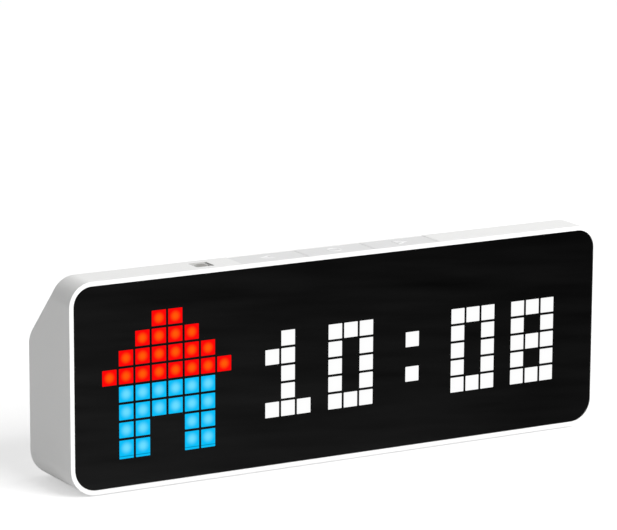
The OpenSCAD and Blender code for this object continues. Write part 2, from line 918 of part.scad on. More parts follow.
// Flat cable with an S bend, drawn in the side view and as wide as the cable
module display_ribbon() {
  half = ribbon_t / 2;
  bend_z = ribbon_high_z - ribbon_run;
  low_bend_z = ribbon_low_z + ribbon_run;
  color("white") placed() translate([ribbon_x - ribbon_w / 2, 0, 0]) {
    block([0, ribbon_high_y - half, bend_z - lap], [ribbon_w, ribbon_high_y + half, ribbon_high_z]);
    block([0, ribbon_low_y - half, ribbon_low_z], [ribbon_w, ribbon_low_y + half, low_bend_z + lap]);
    translate([0, ribbon_high_y + ribbon_r, bend_z]) rotate([90, 0, 90]) rotate([0, 0, 180])
      rotate_extrude(angle = ribbon_turn + ribbon_lap_turn)
      translate([ribbon_r - half, 0]) square([ribbon_t, ribbon_w]);
    translate([0, ribbon_low_y - ribbon_r, low_bend_z]) rotate([90, 0, 90])
      rotate_extrude(angle = ribbon_turn)
      translate([ribbon_r - half, 0]) square([ribbon_t, ribbon_w]);
  }
}

module ribbon_sockets() {
  color("ivory") placed() translate([ribbon_x - socket_w / 2, 0, 0]) {
    block([0, led_back, ribbon_high_z],
          [socket_w, led_back + upper_socket_t, ribbon_high_z + upper_socket_h]);
    block([0, ribbon_low_y - lower_socket_t / 2, main_top],
          [socket_w, ribbon_low_y + lower_socket_t / 2, ribbon_low_z]);
  }
}

module foot(side) {
  color("gray") placed() translate([side * foot_x, body_d / 2, 0]) plate(-foot_proud, foot_sunk)
    round_rect(foot_w, foot_l, foot_w / 4);
}

module left_foot() {
  foot(-1);
}

module right_foot() {
  foot(1);
}

main_housing();
rear_cover();
cover_screws();
front_window();
window_tape();
diffuser_sheet();
light_grid();
led_board();
leds();
led_board_screws();
left_key();
select_key();
right_key();
key_switches();
left_plunger();
select_plunger();
right_plunger();
light_sensor();
main_board();
main_board_screws();
radio_module();
board_chips();
usb_socket();
buzzer();
power_button();
power_switch();
power_plunger();
lower_cell();
upper_cell();
battery_tabs();
battery_lead();
battery_header();
battery_plug();
display_ribbon();
ribbon_sockets();
left_foot();
right_foot();
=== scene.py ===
import bpy
import bmesh
import math
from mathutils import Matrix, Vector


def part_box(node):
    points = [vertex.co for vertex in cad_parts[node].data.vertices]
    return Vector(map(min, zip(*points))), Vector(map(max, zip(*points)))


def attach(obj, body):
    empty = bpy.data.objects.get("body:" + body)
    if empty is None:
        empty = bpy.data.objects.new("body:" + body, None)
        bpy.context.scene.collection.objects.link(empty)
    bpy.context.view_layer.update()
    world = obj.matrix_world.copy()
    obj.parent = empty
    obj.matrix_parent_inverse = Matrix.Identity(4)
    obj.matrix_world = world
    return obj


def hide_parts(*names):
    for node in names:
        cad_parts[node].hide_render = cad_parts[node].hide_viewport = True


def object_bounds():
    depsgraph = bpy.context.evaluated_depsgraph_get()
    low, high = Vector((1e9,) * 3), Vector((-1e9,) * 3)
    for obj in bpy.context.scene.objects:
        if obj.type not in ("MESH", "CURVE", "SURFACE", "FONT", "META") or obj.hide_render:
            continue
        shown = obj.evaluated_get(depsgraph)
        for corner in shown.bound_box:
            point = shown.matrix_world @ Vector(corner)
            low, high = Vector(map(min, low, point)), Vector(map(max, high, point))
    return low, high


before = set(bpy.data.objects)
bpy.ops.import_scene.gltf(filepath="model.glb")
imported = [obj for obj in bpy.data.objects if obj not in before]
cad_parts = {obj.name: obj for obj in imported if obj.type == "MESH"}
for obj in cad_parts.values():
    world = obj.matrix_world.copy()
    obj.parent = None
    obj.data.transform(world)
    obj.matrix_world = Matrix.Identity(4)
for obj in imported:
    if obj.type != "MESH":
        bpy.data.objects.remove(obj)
cadLow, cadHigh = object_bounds()
mm = 0.001
past = 1 * mm  # a cut runs this far past the face that it opens
bite = 0.05 * mm  # overlap of two solids that are joined
near = 0.002 * mm  # points closer than this count as one place
crispAngle = 40  # degrees, past which an edge stays crisp or is given a round
cornerAngle = 1.0  # radians, past which an edge in a flat face is the edge of an opening
endShare = 0.99  # share of half a height that each round of a round end takes, so that the two don't meet
quarterTurn = math.pi / 2
axisX, axisY, axisZ = 0, 1, 2
flats = {"large": 64, "head": 48, "boss": 32, "pilot": 24, "lead": 16}  # sides of a cylinder, by its use
# facets of a round, by its use
steps = {"chamfer": 1, "fine": 2, "edge": 3, "corner": 4, "pad": 8, "slot": 10, "socket": 12}
scene = bpy.context.scene
scene.view_settings.view_transform = "Standard"


def hexColor(code):  # sRGB hex to the linear colour that a node takes
    parts = [int(code[i:i + 2], 16) / 255 for i in (1, 3, 5)]
    return [p / 12.92 if p <= 0.04045 else ((p + 0.055) / 1.055) ** 2.4 for p in parts] + [1.0]


def feed(tree, node, inputs):  # gives the open inputs of a node, by name or place, a value or a link
    for key, value in inputs.items():
        named = [socket for socket in node.inputs if socket.enabled and socket.name == key]
        target = named[0] if named else node.inputs[key]
        if isinstance(value, bpy.types.Node):
            value = [socket for socket in value.outputs if socket.enabled][0]
        if isinstance(value, bpy.types.NodeSocket):
            tree.links.new(value, target)
        else:
            target.default_value = value


def addNode(tree, kind, inputs=None, **settings):  # a shader node, its settings, its values and its links
    node = tree.nodes.new("ShaderNode" + kind)
    for name, value in settings.items():
        setattr(node, name, value)
    feed(tree, node, inputs or {})
    return node


def newSurface(name, color, roughness, more=None):  # a shader with plain values, ready for patterns
    surface = bpy.data.materials.new(name)
    surface.use_nodes = True
    tree = surface.node_tree
    tree.nodes.clear()
    shader = addNode(tree, "BsdfPrincipled", {"Base Color": hexColor(color), "Roughness": roughness})
    feed(tree, shader, more or {})
    addNode(tree, "OutputMaterial", {"Surface": shader.outputs["BSDF"]})
    coords = addNode(tree, "TexCoord").outputs["Object"]
    return surface, tree, shader, coords


def activate(piece):  # the one piece that the next operator acts on
    bpy.ops.object.select_all(action="DESELECT")
    bpy.context.view_layer.objects.active = piece
    piece.select_set(True)


def anyPart(part):  # test that everything passes
    return True


def runsAlong(axis):  # test for edges that run along an axis
    others = [i for i in (axisX, axisY, axisZ) if i != axis]
    return lambda edge: all(abs(edge.verts[0].co[i] - edge.verts[1].co[i]) < near for i in others)


def liesAt(axis, place):  # test for edges or faces that lie on a plane
    return lambda part: all(abs(point.co[axis] - place) < near for point in part.verts)


def pick(piece, kind, test):  # into edit mode, with what passes the test selected
    if bpy.context.object and bpy.context.object.mode == "EDIT":
        bpy.ops.object.mode_set(mode="OBJECT")
    activate(piece)
    bpy.ops.object.mode_set(mode="EDIT")
    bpy.ops.mesh.select_mode(type=kind)
    bpy.ops.mesh.select_all(action="DESELECT")
    mesh = bmesh.from_edit_mesh(piece.data)
    parts = {"VERT": mesh.verts, "EDGE": mesh.edges, "FACE": mesh.faces}[kind]
    for part in parts:
        if test(part):
            part.select_set(True)
    mesh.select_flush_mode()
    bmesh.update_edit_mesh(piece.data)


def bevelEdges(piece, test, width, facets):
    pick(piece, "EDGE", test)
    bpy.ops.mesh.bevel(offset=width, segments=facets, affect="EDGES")
    bpy.ops.object.mode_set(mode="OBJECT")


def faceOutwards():  # turns all faces of the piece in hand outwards and leaves edit mode
    bpy.ops.mesh.select_all(action="SELECT")
    bpy.ops.mesh.normals_make_consistent(inside=False)
    bpy.ops.object.mode_set(mode="OBJECT")


def settle(name):  # names the new piece and puts its place, turn and size into its mesh
    piece = bpy.context.object
    piece.name = name
    bpy.ops.object.transform_apply(location=True, rotation=True, scale=True)
    return piece


def addBlock(name, low, high):  # a box between two corners
    bpy.ops.object.select_all(action="DESELECT")
    bpy.ops.mesh.primitive_cube_add(size=1, location=[(a + b) / 2 for a, b in zip(low, high)])
    bpy.context.object.scale = [b - a for a, b in zip(low, high)]
    return settle(name)


def addRound(name, radius, start, end, axis, sides=flats["large"]):  # a cylinder between two places
    bpy.ops.object.select_all(action="DESELECT")
    middle = [(a + b) / 2 for a, b in zip(start, end)]
    turn = {axisX: (0, quarterTurn, 0), axisY: (-quarterTurn, 0, 0), axisZ: (0, 0, 0)}[axis]
    bpy.ops.mesh.primitive_cylinder_add(vertices=sides, radius=radius, depth=end[axis] - start[axis],
                                        location=middle, rotation=turn)
    return settle(name)


def addOutline(name, radius, corners, place, turn=0.0):  # a flat filled outline with evenly spaced corners
    bpy.ops.object.select_all(action="DESELECT")
    bpy.ops.mesh.primitive_circle_add(vertices=corners, radius=radius, fill_type="NGON", location=place,
                                      rotation=(0, 0, turn))
    return settle(name)


def useModifier(piece, kind, **settings):  # adds a modifier and applies it
    activate(piece)
    modifier = piece.modifiers.new(kind.lower(), kind)
    for name, value in settings.items():
        setattr(modifier, name, value)
    bpy.ops.object.modifier_apply(modifier=modifier.name)


def combine(piece, tool, operation="DIFFERENCE"):  # cuts or joins by a second solid, which is then removed
    useModifier(piece, "BOOLEAN", operation=operation, object=tool, solver="EXACT")
    bpy.data.objects.remove(tool, do_unlink=True)


def joinPieces(pieces, name):
    bpy.ops.object.select_all(action="DESELECT")
    for piece in pieces:
        piece.select_set(True)
    bpy.context.view_layer.objects.active = pieces[0]
    bpy.ops.object.join()
    pieces[0].name = name
    return pieces[0]


def copyTo(piece, shift):  # a copy with its own mesh, moved by a shift
    twin = piece.copy()
    twin.data = piece.data.copy()
    scene.collection.objects.link(twin)
    twin.location = shift
    activate(twin)
    bpy.ops.object.transform_apply(location=True, rotation=False, scale=False)
    return twin


def smoothPiece(piece):
    activate(piece)
    bpy.ops.object.shade_smooth_by_angle(angle=math.radians(crispAngle))
    useModifier(piece, "WEIGHTED_NORMAL", keep_sharp=True)


def roundEdges(piece, width, facets=steps["edge"], limit=crispAngle):  # rounds every sharp edge
    useModifier(piece, "BEVEL", width=width, segments=facets, limit_method="ANGLE",
                angle_limit=math.radians(limit), use_clamp_overlap=True)


def weldPoints(piece):  # closes up the points that a rounding has left on top of each other
    pick(piece, "VERT", anyPart)
    bpy.ops.mesh.remove_doubles(threshold=near)
    bpy.ops.mesh.dissolve_degenerate(threshold=near)
    bpy.ops.object.mode_set(mode="OBJECT")


def cornerPlaces(node, head, axis):  # middles of screws with their heads in the corners of a node's box
    low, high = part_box(node)
    inset = head * mm / 2
    return [(x, other) for x in (low.x + inset, high.x - inset)
            for other in (low[axis] + inset, high[axis] - inset)]


def dress(piece, surface, body, slot, *nodes):  # finish, body, record slot (not used) and the solids it stands for
    piece.data.materials.clear()
    piece.data.materials.append(surface)
    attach(piece, body)
    if nodes:
        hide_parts(*nodes)


def finishNodes(surface, *nodes):  # a finish for solids that keep their own shape
    for node in nodes:
        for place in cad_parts[node].material_slots:
            place.material = surface


# camera at the photograph's place, found from the centres of the lit pixels
cameraSet = {"place": (-591.8, -1033.8, 323.0), "turn": (76.392, -0.275, -29.55), "lens": 213.57,
             "shift": 0.1378, "sensor": 36, "nearest": 50, "farthest": 50000}
bpy.ops.object.camera_add(location=[v * mm for v in cameraSet["place"]],
                          rotation=[math.radians(v) for v in cameraSet["turn"]])
camera = bpy.context.object
camera.data.sensor_width = cameraSet["sensor"]
camera.data.lens = cameraSet["lens"]
camera.data.shift_y = cameraSet["shift"]
camera.data.clip_start = cameraSet["nearest"] * mm
camera.data.clip_end = cameraSet["farthest"] * mm
scene.camera = camera
print("camera set")

bodyLow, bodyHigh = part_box("main_housing")
midZ = (bodyLow.z + bodyHigh.z) / 2
ledLow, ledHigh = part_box("leds")

# the display's cells and the lit tiles in front of them; the lowest row's tiles reach down past the grid
# and carry a painted shadow of its lip as a dim line
pixelSet = {"columns": 32, "rows": 8, "led": 3.5, "gap": 0.84, "corner": 0.14, "thick": 0.05,
            "lowExtra": 1.0, "lip": 0.8, "lipShadowWide": 0.3, "lipShadowDim": 0.45, "core": 0.05, "roughness": 0.5}
ledSide = pixelSet["led"] * mm
pitch = (ledHigh.x - ledLow.x - ledSide) / (pixelSet["columns"] - 1)


# moulded ABS from a spark-eroded mould: white all through, a broad soft highlight, a fine grain that is
# drawn about ten times as coarse as it is, so that it shows
absSet = {"ior": 1.53, "roughness": 0.56, "gloss": (0.5, 0.62), "cloud": 22, "detail": 2.0, "relief": 0.2,
          "deep": 0.02}


def mouldedAbs(name, light, shade, grit):
    looks = absSet
    surface, tree, shader, coords = newSurface(name, light, looks["roughness"], {"IOR": looks["ior"]})
    cloud, grain = [addNode(tree, "TexNoise", {"Vector": coords, "Scale": 1 / (size * mm),
                                               "Detail": looks["detail"]})
                    for size in (looks["cloud"], grit)]
    tone = addNode(tree, "Mix", {"Factor": cloud, "A": hexColor(shade),
                                 "B": hexColor(light)}, data_type="RGBA")
    gloss = addNode(tree, "MapRange", {"Value": grain, "To Min": looks["gloss"][0],
                                       "To Max": looks["gloss"][1]})
    relief = addNode(tree, "Bump", {"Height": grain, "Strength": looks["relief"],
                                    "Distance": looks["deep"] * mm})
    feed(tree, shader, {"Base Color": tone, "Roughness": gloss, "Normal": relief})
    return surface


# smoked acrylic with a matt hard coat: almost black, hardly any reflection, faint cloudy streaks across,
# and a painted sheen that makes it a little paler towards its lower left
smokeSet = {"color": "#080808", "ior": 1.49, "gloss": 0.35, "shine": 0.002, "streakLong": 55,
            "streakHigh": 5.5, "detail": 4.0, "turn": 5, "cloud": (0.25, 0.75),
            "deep": ("#040404", "#0C0C0C"), "sheenTone": ("#151515", "#1F1F1F"), "sheenLeft": 0.52,
            "sheenLow": 0.42, "sheenGain": 1.5}


def smokedAcrylic():
    looks = smokeSet
    surface, tree, shader, coords = newSurface("smokedAcrylicSheet", looks["color"], looks["gloss"],
                                               {"IOR": looks["ior"], "Specular IOR Level": looks["shine"]})
    drawn = addNode(tree, "Mapping", {"Vector": coords, "Rotation": (0, math.radians(looks["turn"]), 0),
                                      "Scale": (looks["streakLong"] / looks["streakHigh"], 1.0, 1.0)},
                    vector_type="TEXTURE")
    streak = addNode(tree, "TexNoise", {"Vector": drawn, "Scale": 1 / (looks["streakHigh"] * mm),
                                        "Detail": looks["detail"]})
    cloud = addNode(tree, "MapRange", {"Value": streak, "From Min": looks["cloud"][0],
                                       "From Max": looks["cloud"][1]})
    deep, sheenTone = [addNode(tree, "Mix", {"Factor": cloud, "A": hexColor(dark),
                                        "B": hexColor(light)}, data_type="RGBA")
                  for dark, light in (looks["deep"], looks["sheenTone"])]
    # painted sheen: the streaks are mixed towards paler tones at the lower left of the body
    place = addNode(tree, "SeparateXYZ", {"Vector": coords})
    left = addNode(tree, "MapRange", {"Value": place.outputs["X"], "From Min": bodyHigh.x,
                                      "From Max": bodyLow.x, "To Max": looks["sheenLeft"]})
    down = addNode(tree, "MapRange", {"Value": place.outputs["Z"], "From Min": bodyHigh.z,
                                      "From Max": bodyLow.z, "To Max": looks["sheenLow"]})
    corner = addNode(tree, "Math", {0: left, 1: down}, operation="ADD")
    sheenShare = addNode(tree, "Math", {0: corner, 1: looks["sheenGain"]}, operation="POWER")
    tone = addNode(tree, "Mix", {"Factor": sheenShare, "A": deep, "B": sheenTone}, data_type="RGBA")
    feed(tree, shader, {"Base Color": tone})
    return surface


def cellReach(tree, coords):  # distance from the middle of the light cell round a point, in cell widths
    middle, upright = (0.5, 0.5, 0.5), (1, 0, 1)
    cells = addNode(tree, "Mapping", {"Vector": coords, "Location": (0, 0, -midZ / pitch),
                                      "Scale": (1 / pitch, 1, 1 / pitch)})
    inCell = addNode(tree, "VectorMath", {0: cells}, operation="FRACTION")
    offset = addNode(tree, "VectorMath", {0: inCell, 1: middle}, operation="SUBTRACT")
    flat = addNode(tree, "VectorMath", {0: offset, 1: upright}, operation="MULTIPLY")
    return addNode(tree, "VectorMath", {0: flat}, operation="LENGTH").outputs["Value"]


# light of one diode spread by film: an even bright square that is a little paler in its middle
def litPixel(name, edge, centre, spread):
    looks = pixelSet
    surface, tree, shader, coords = newSurface(name, "#000000", looks["roughness"],
                                               {"Specular IOR Level": 0.0, "Emission Strength": 1.0})
    heat = addNode(tree, "MapRange", {"Value": cellReach(tree, coords), "From Min": looks["core"],
                                      "From Max": spread, "To Min": 1.0, "To Max": 0.0},
                   interpolation_type="SMOOTHSTEP")
    glow = addNode(tree, "Mix", {"Factor": heat, "A": hexColor(edge),
                                 "B": hexColor(centre)}, data_type="RGBA")
    # painted shadow: the lowest row is dimmed along a thin line where the grid's lip would shade it
    lipZ = midZ - looks["rows"] / 2 * pitch + (looks["gap"] / 2 - looks["lowExtra"] + looks["lip"]) * mm
    height = addNode(tree, "SeparateXYZ", {"Vector": coords}).outputs["Z"]
    lip = addNode(tree, "Math", {0: height, 1: lipZ, 2: looks["lipShadowWide"] * mm / 2}, operation="COMPARE")
    lipShadowShare = addNode(tree, "Math", {0: lip, 1: looks["lipShadowDim"]}, operation="MULTIPLY")
    shown = addNode(tree, "Mix", {"Factor": lipShadowShare, "A": glow, "B": hexColor("#000000")}, data_type="RGBA")
    feed(tree, shader, {"Emission Color": shown})
    return surface


# stamped and plated sheet or turned steel: bright, with lines left by the tool, which are drawn coarser
# than they are so that they show
metalSet = {"stretch": (1.0, 0.08, 1.0), "detail": 3.0, "brighter": 0.08, "duller": 0.12, "relief": 0.15,
            "deep": 0.01}


def platedMetal(name, color, roughness, line):
    looks = metalSet
    surface, tree, shader, coords = newSurface(name, color, roughness, {"Metallic": 1.0})
    drawn = addNode(tree, "Mapping", {"Vector": coords, "Scale": looks["stretch"]})
    scratch = addNode(tree, "TexNoise", {"Vector": drawn, "Scale": 1 / (line * mm),
                                         "Detail": looks["detail"]})
    gloss = addNode(tree, "MapRange", {"Value": scratch, "To Min": roughness - looks["brighter"],
                                       "To Max": roughness + looks["duller"]})
    relief = addNode(tree, "Bump", {"Height": scratch, "Strength": looks["relief"],
                                    "Distance": looks["deep"] * mm})
    feed(tree, shader, {"Roughness": gloss, "Normal": relief})
    return surface


# moulded nylon, resin, rubber or film without paint: one dull colour, slightly cloudy
resinSet = {"ior": 1.53, "detail": 3.0, "relief": 0.2, "deep": 0.02}


def mouldedResin(name, light, shade, roughness, grit, **changes):
    looks = {**resinSet, **changes}
    surface, tree, shader, coords = newSurface(name, light, roughness, {"IOR": looks["ior"]})
    cloud = addNode(tree, "TexNoise", {"Vector": coords, "Scale": 1 / (grit * mm),
                                       "Detail": looks["detail"]})
    tone = addNode(tree, "Mix", {"Factor": cloud, "A": hexColor(shade),
                                 "B": hexColor(light)}, data_type="RGBA")
    relief = addNode(tree, "Bump", {"Height": cloud, "Strength": looks["relief"],
                                    "Distance": looks["deep"] * mm})
    feed(tree, shader, {"Base Color": tone, "Normal": relief})
    return surface


# woven fibreglass board under solder mask: glossy green over a fine square weave
boardSet = {"color": "#0E4A2A", "warp": "#0F4D2C", "weft": "#0C4326", "roughness": 0.35, "ior": 1.55,
            "weave": 0.5, "relief": 0.1, "deep": 0.01}


def maskedFibreglass(name, plane):
    looks = boardSet
    surface, tree, shader, coords = newSurface(name, looks["color"], looks["roughness"],
                                               {"IOR": looks["ior"]})
    threads = addNode(tree, "Mapping", {"Vector": coords, "Scale": plane})
    weave = addNode(tree, "TexChecker", {"Vector": threads, "Scale": 1 / (looks["weave"] * mm),
                                         "Color1": hexColor(looks["warp"]),
                                         "Color2": hexColor(looks["weft"])})
    relief = addNode(tree, "Bump", {"Height": weave.outputs["Fac"], "Strength": looks["relief"],
                                    "Distance": looks["deep"] * mm})
    feed(tree, shader, {"Base Color": weave.outputs["Color"], "Normal": relief})
    return surface


# moulded diode package: a white square round a clear yellowish lens
diodeSet = {"case": "#EFEFEA", "lens": "#D8CFA0", "roughness": 0.4, "ior": 1.5, "lensReach": 1.3,
            "gloss": (0.5, 0.15)}


def diodePackage():
    looks = diodeSet
    surface, tree, shader, coords = newSurface("mouldedDiodePackage", looks["case"], looks["roughness"],
                                               {"IOR": looks["ior"]})
    lens = addNode(tree, "Math", {0: cellReach(tree, coords), 1: looks["lensReach"] * mm / pitch},
                   operation="LESS_THAN")
    tone = addNode(tree, "Mix", {"Factor": lens, "A": hexColor(looks["case"]),
                                 "B": hexColor(looks["lens"])}, data_type="RGBA")
    gloss = addNode(tree, "MapRange", {"Value": lens, "To Min": looks["gloss"][0],
                                       "To Max": looks["gloss"][1]})
    feed(tree, shader, {"Base Color": tone, "Roughness": gloss})
    return surface


# extruded wire jacket: soft gloss, black on the wire in front and red on the one behind
jacketSet = {"front": "#161616", "behind": "#B01818", "roughness": 0.4, "ior": 1.5}


def wireJacket(splitY):
    looks = jacketSet
    surface, tree, shader, coords = newSurface("extrudedWireJacket", looks["behind"], looks["roughness"],
                                               {"IOR": looks["ior"]})
    depth = addNode(tree, "SeparateXYZ", {"Vector": coords}).outputs["Y"]
    behind = addNode(tree, "Math", {0: depth, 1: splitY}, operation="GREATER_THAN")
    tone = addNode(tree, "Mix", {"Factor": behind, "A": hexColor(looks["front"]),
                                 "B": hexColor(looks["behind"])}, data_type="RGBA")
    feed(tree, shader, {"Base Color": tone})
    return surface


# laminated polyester film with flat conductors: white with dull tin lines along it
filmSet = {"color": "#E8E8E4", "film": "#ECECE8", "tin": "#B9B9B4", "roughness": 0.4, "ior": 1.57,
           "linePitch": 1.0, "lineShare": 0.6}


def laminatedFilm():
    looks = filmSet
    surface, tree, shader, coords = newSurface("laminatedCableFilm", looks["color"], looks["roughness"],
                                               {"IOR": looks["ior"]})
    across = addNode(tree, "SeparateXYZ", {"Vector": coords}).outputs["X"]
    count = addNode(tree, "Math", {0: across, 1: 1 / (looks["linePitch"] * mm)}, operation="MULTIPLY")
    inLine = addNode(tree, "Math", {0: count}, operation="FRACT")
    strip = addNode(tree, "Math", {0: inLine, 1: looks["lineShare"]}, operation="LESS_THAN")
    tone = addNode(tree, "Mix", {"Factor": strip, "A": hexColor(looks["film"]),
                                 "B": hexColor(looks["tin"])}, data_type="RGBA")
    feed(tree, shader, {"Base Color": tone})
    return surface


# the body: a rounded front outline drawn straight back, then a slanted back
shellSet = {"wall": 2.2, "rim": 1.5, "topRadius": 8.0, "lowRadius": 9.2, "cornerSteps": 16, "flatTop": 12.9,
            "slant": 45, "rearRound": 2.2, "rearSteps": 6, "foldAngle": 0.02, "breakRound": 0.8,
            "breakSteps": 3, "pocket": 1.75, "bezel": 2.0, "gridGap": 0.25, "edge": 0.22,
            "fineEdge": 0.06, "fineLimit": 50, "padGap": 0.1}
coverSet = {"inset": 4.6, "seam": 0.15, "wall": 2.0, "front": 4.75, "edge": 0.12, "slotGap": 0.25,
            "buttonGap": 0.2, "headGap": 0.2, "shankGap": 0.2}


def frontSlab(name, inset, yFront, yRear):  # the front outline, moved in, between two depths
    sizes = shellSet
    slab = addBlock(name, (bodyLow.x + inset, yFront, bodyLow.z + inset),
                    (bodyHigh.x - inset, yRear, bodyHigh.z - inset))
    along = runsAlong(axisY)
    for atTop, radius in ((True, sizes["topRadius"]), (False, sizes["lowRadius"])):
        bevelEdges(slab, lambda edge: along(edge) and (edge.verts[0].co.z > midZ) == atTop,
                   radius * mm - inset, sizes["cornerSteps"])
    return slab


def bodyForm(name, inset, yFront, rounded=False):  # the whole body, moved in, with or without its rounds
    sizes = shellSet
    slope = math.radians(sizes["slant"])
    yRear = bodyHigh.y - inset
    yBreak = bodyLow.y + sizes["flatTop"] * mm - inset * math.tan(slope / 2)
    form = frontSlab(name, inset, yFront, yRear)
    pick(form, "FACE", anyPart)
    bpy.ops.mesh.bisect(plane_co=(0, yBreak, 0), plane_no=(0, 1, 0))
    pick(form, "VERT", lambda point: abs(point.co.y - yRear) < near and point.co.z > midZ)
    bpy.ops.transform.translate(value=(0, 0, -(yRear - yBreak) * math.tan(slope)))
    bpy.ops.object.mode_set(mode="OBJECT")
    if rounded:
        fold = liesAt(axisY, yBreak)
        bevelEdges(form, liesAt(axisY, yRear), sizes["rearRound"] * mm, sizes["rearSteps"])
        bevelEdges(form, lambda edge: fold(edge) and edge.calc_face_angle(0) > sizes["foldAngle"],
                   sizes["breakRound"] * mm * math.tan(slope / 2), sizes["breakSteps"])
    return form


def cutKeySeat(shell):  # a shallow seat for the three caps, and under each a hole for its neck
    sizes = keySet
    low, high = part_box("left_key")[0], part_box("right_key")[1]
    gap, endGap = sizes["gap"] * mm, sizes["endGap"] * mm
    underZ = bodyHigh.z - shellSet["wall"] * mm - bite
    seat = addBlock("keySeat", (low.x - endGap, low.y - gap, bodyHigh.z - sizes["seat"] * mm),
                    (high.x + endGap, high.y + gap, bodyHigh.z + past))
    bevelEdges(seat, runsAlong(axisZ), sizes["corner"] * mm + endGap, steps["corner"])
    combine(shell, seat)
    atTop = liesAt(axisZ, bodyHigh.z)
    bevelEdges(shell, lambda edge: atTop(edge) and edge.calc_face_angle(0) > cornerAngle,
               sizes["seatEdge"] * mm, steps["edge"])
    for node in keyPlan:
        left, right, front, rear = neckSpan(node)
        combine(shell, addBlock("neckHole", (left - gap, front - gap, underZ),
                                (right + gap, rear + gap, bodyHigh.z)))


def cutSensorWell(shell):  # a shallow square well with a round hole in its floor
    sizes = sensorSet
    x, y = sensorPlace()
    half = sizes["wellSide"] * mm / 2
    well = addBlock("sensorWell", (x - half, y - half, bodyHigh.z - sizes["wellDepth"] * mm),
                    (x + half, y + half, bodyHigh.z + past))
    bevelEdges(well, runsAlong(axisZ), sizes["wellRound"] * mm, steps["corner"])
    combine(shell, well)
    combine(shell, addRound("sensorHole", (sizes["size"] / 2 + sizes["holeGap"]) * mm,
                            (x, y, bodyHigh.z - shellSet["wall"] * mm - bite), (x, y, bodyHigh.z), axisZ))


def cutPadRecesses(shell):
    gap = shellSet["padGap"] * mm
    for node in padPlan:
        low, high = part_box(node)
        recess = addBlock("padRecess", (low.x - gap, low.y - gap, bodyLow.z - past),
                          (high.x + gap, high.y + gap, high.z))
        bevelEdges(recess, runsAlong(axisZ), (high.x - low.x) * padSet["cornerShare"], steps["pad"])
        combine(shell, recess)


# inside of the housing: the cover's ledge and posts, the board bosses and the battery saddles
innerSet = {"ledge": 1.2, "ledgeWide": 1.55, "ledgeClear": 0.3, "post": 6.0, "postClear": 5.0, "web": 2.4,
            "boss": 4.8, "head": 3.6, "pilot": 1.7, "pilotDeep": 4.7, "pilotGap": 0.1, "lap": 0.2,
            "saddle": 2.0, "saddleGap": 0.15, "saddleIn": 0.18, "saddleClear": 0.8, "wireGap": 0.3,
            "wire": 1.4}


def makeLedge(bezelY, innerY):
    sizes = innerSet
    deep, clear = (shellSet["wall"] + sizes["ledge"]) * mm, sizes["ledgeClear"] * mm
    ledge = bodyForm("coverLedge", coverSet["wall"] * mm, bezelY)
    combine(ledge, bodyForm("ledgeInside", deep, bezelY - past))
    combine(ledge, frontSlab("ledgeOutline", deep + clear, bezelY + past, bodyHigh.y), "INTERSECT")
    combine(ledge, frontSlab("ledgeOpening", (coverSet["inset"] + sizes["ledgeWide"]) * mm, bezelY,
                             bodyHigh.y + past))
    low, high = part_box("power_button")
    middle = (low + high) / 2
    combine(ledge, addRound("buttonRelief", (high.x - low.x) / 2 + clear,
                            (middle.x, low.y - past, middle.z), (middle.x, innerY + past, middle.z), axisY))
    weldPoints(ledge)
    return ledge


def makePosts(innerY):
    sizes = innerSet
    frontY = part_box("led_board")[1].y + sizes["postClear"] * mm
    sideX = bodyHigh.x - (shellSet["wall"] - sizes["lap"]) * mm
    web = sizes["web"] * mm / 2
    posts = []
    for x, z in cornerPlaces("cover_screws", screwSet["head"], axisZ):
        wallX = math.copysign(sideX, x)
        post = addRound("coverPost", sizes["post"] * mm / 2, (x, frontY, z), (x, innerY - bite, z), axisY,
                        flats["head"])
        combine(post, addBlock("postWeb", (min(x, wallX), frontY, z - web),
                               (max(x, wallX), innerY - sizes["ledge"] * mm, z + web)), "UNION")
        combine(post, addRound("pilot", (screwSet["shank"] + sizes["pilotGap"]) * mm / 2,
                               (x, innerY - screwSet["length"] * mm, z), (x, innerY + past, z), axisY,
                               flats["pilot"]))
        posts.append(post)
    return posts


def addBoss(start, end, screwStart, screwEnd, axis):
    sizes = innerSet
    boss = addRound("boardBoss", sizes["boss"] * mm / 2, start, end, axis, flats["boss"])
    combine(boss, addRound("pilot", sizes["pilot"] * mm / 2, screwStart, screwEnd, axis, flats["pilot"]))
    return boss


def makeBosses(bezelY):
    sizes = innerSet
    lap, deep, head = sizes["lap"] * mm, sizes["pilotDeep"] * mm, sizes["head"]
    low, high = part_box("led_board_screws")
    frontY, rearY = (corner.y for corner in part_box("led_board"))
    lowMiddle = ((low.x + high.x) / 2, low.z + head * mm / 2)
    bosses = []
    for x, z in cornerPlaces("led_board_screws", head, axisZ) + [lowMiddle]:
        bosses.append(addBoss((x, bezelY - lap, z), (x, frontY, z), (x, rearY - deep, z), (x, rearY, z),
                              axisY))
    underZ, topZ = (corner.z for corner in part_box("main_board"))
    floorZ = bodyLow.z + shellSet["wall"] * mm - lap
    for x, y in cornerPlaces("main_board_screws", head, axisY):
        bosses.append(addBoss((x, y, floorZ), (x, y, underZ), (x, y, topZ - deep), (x, y, topZ), axisZ))
    return bosses


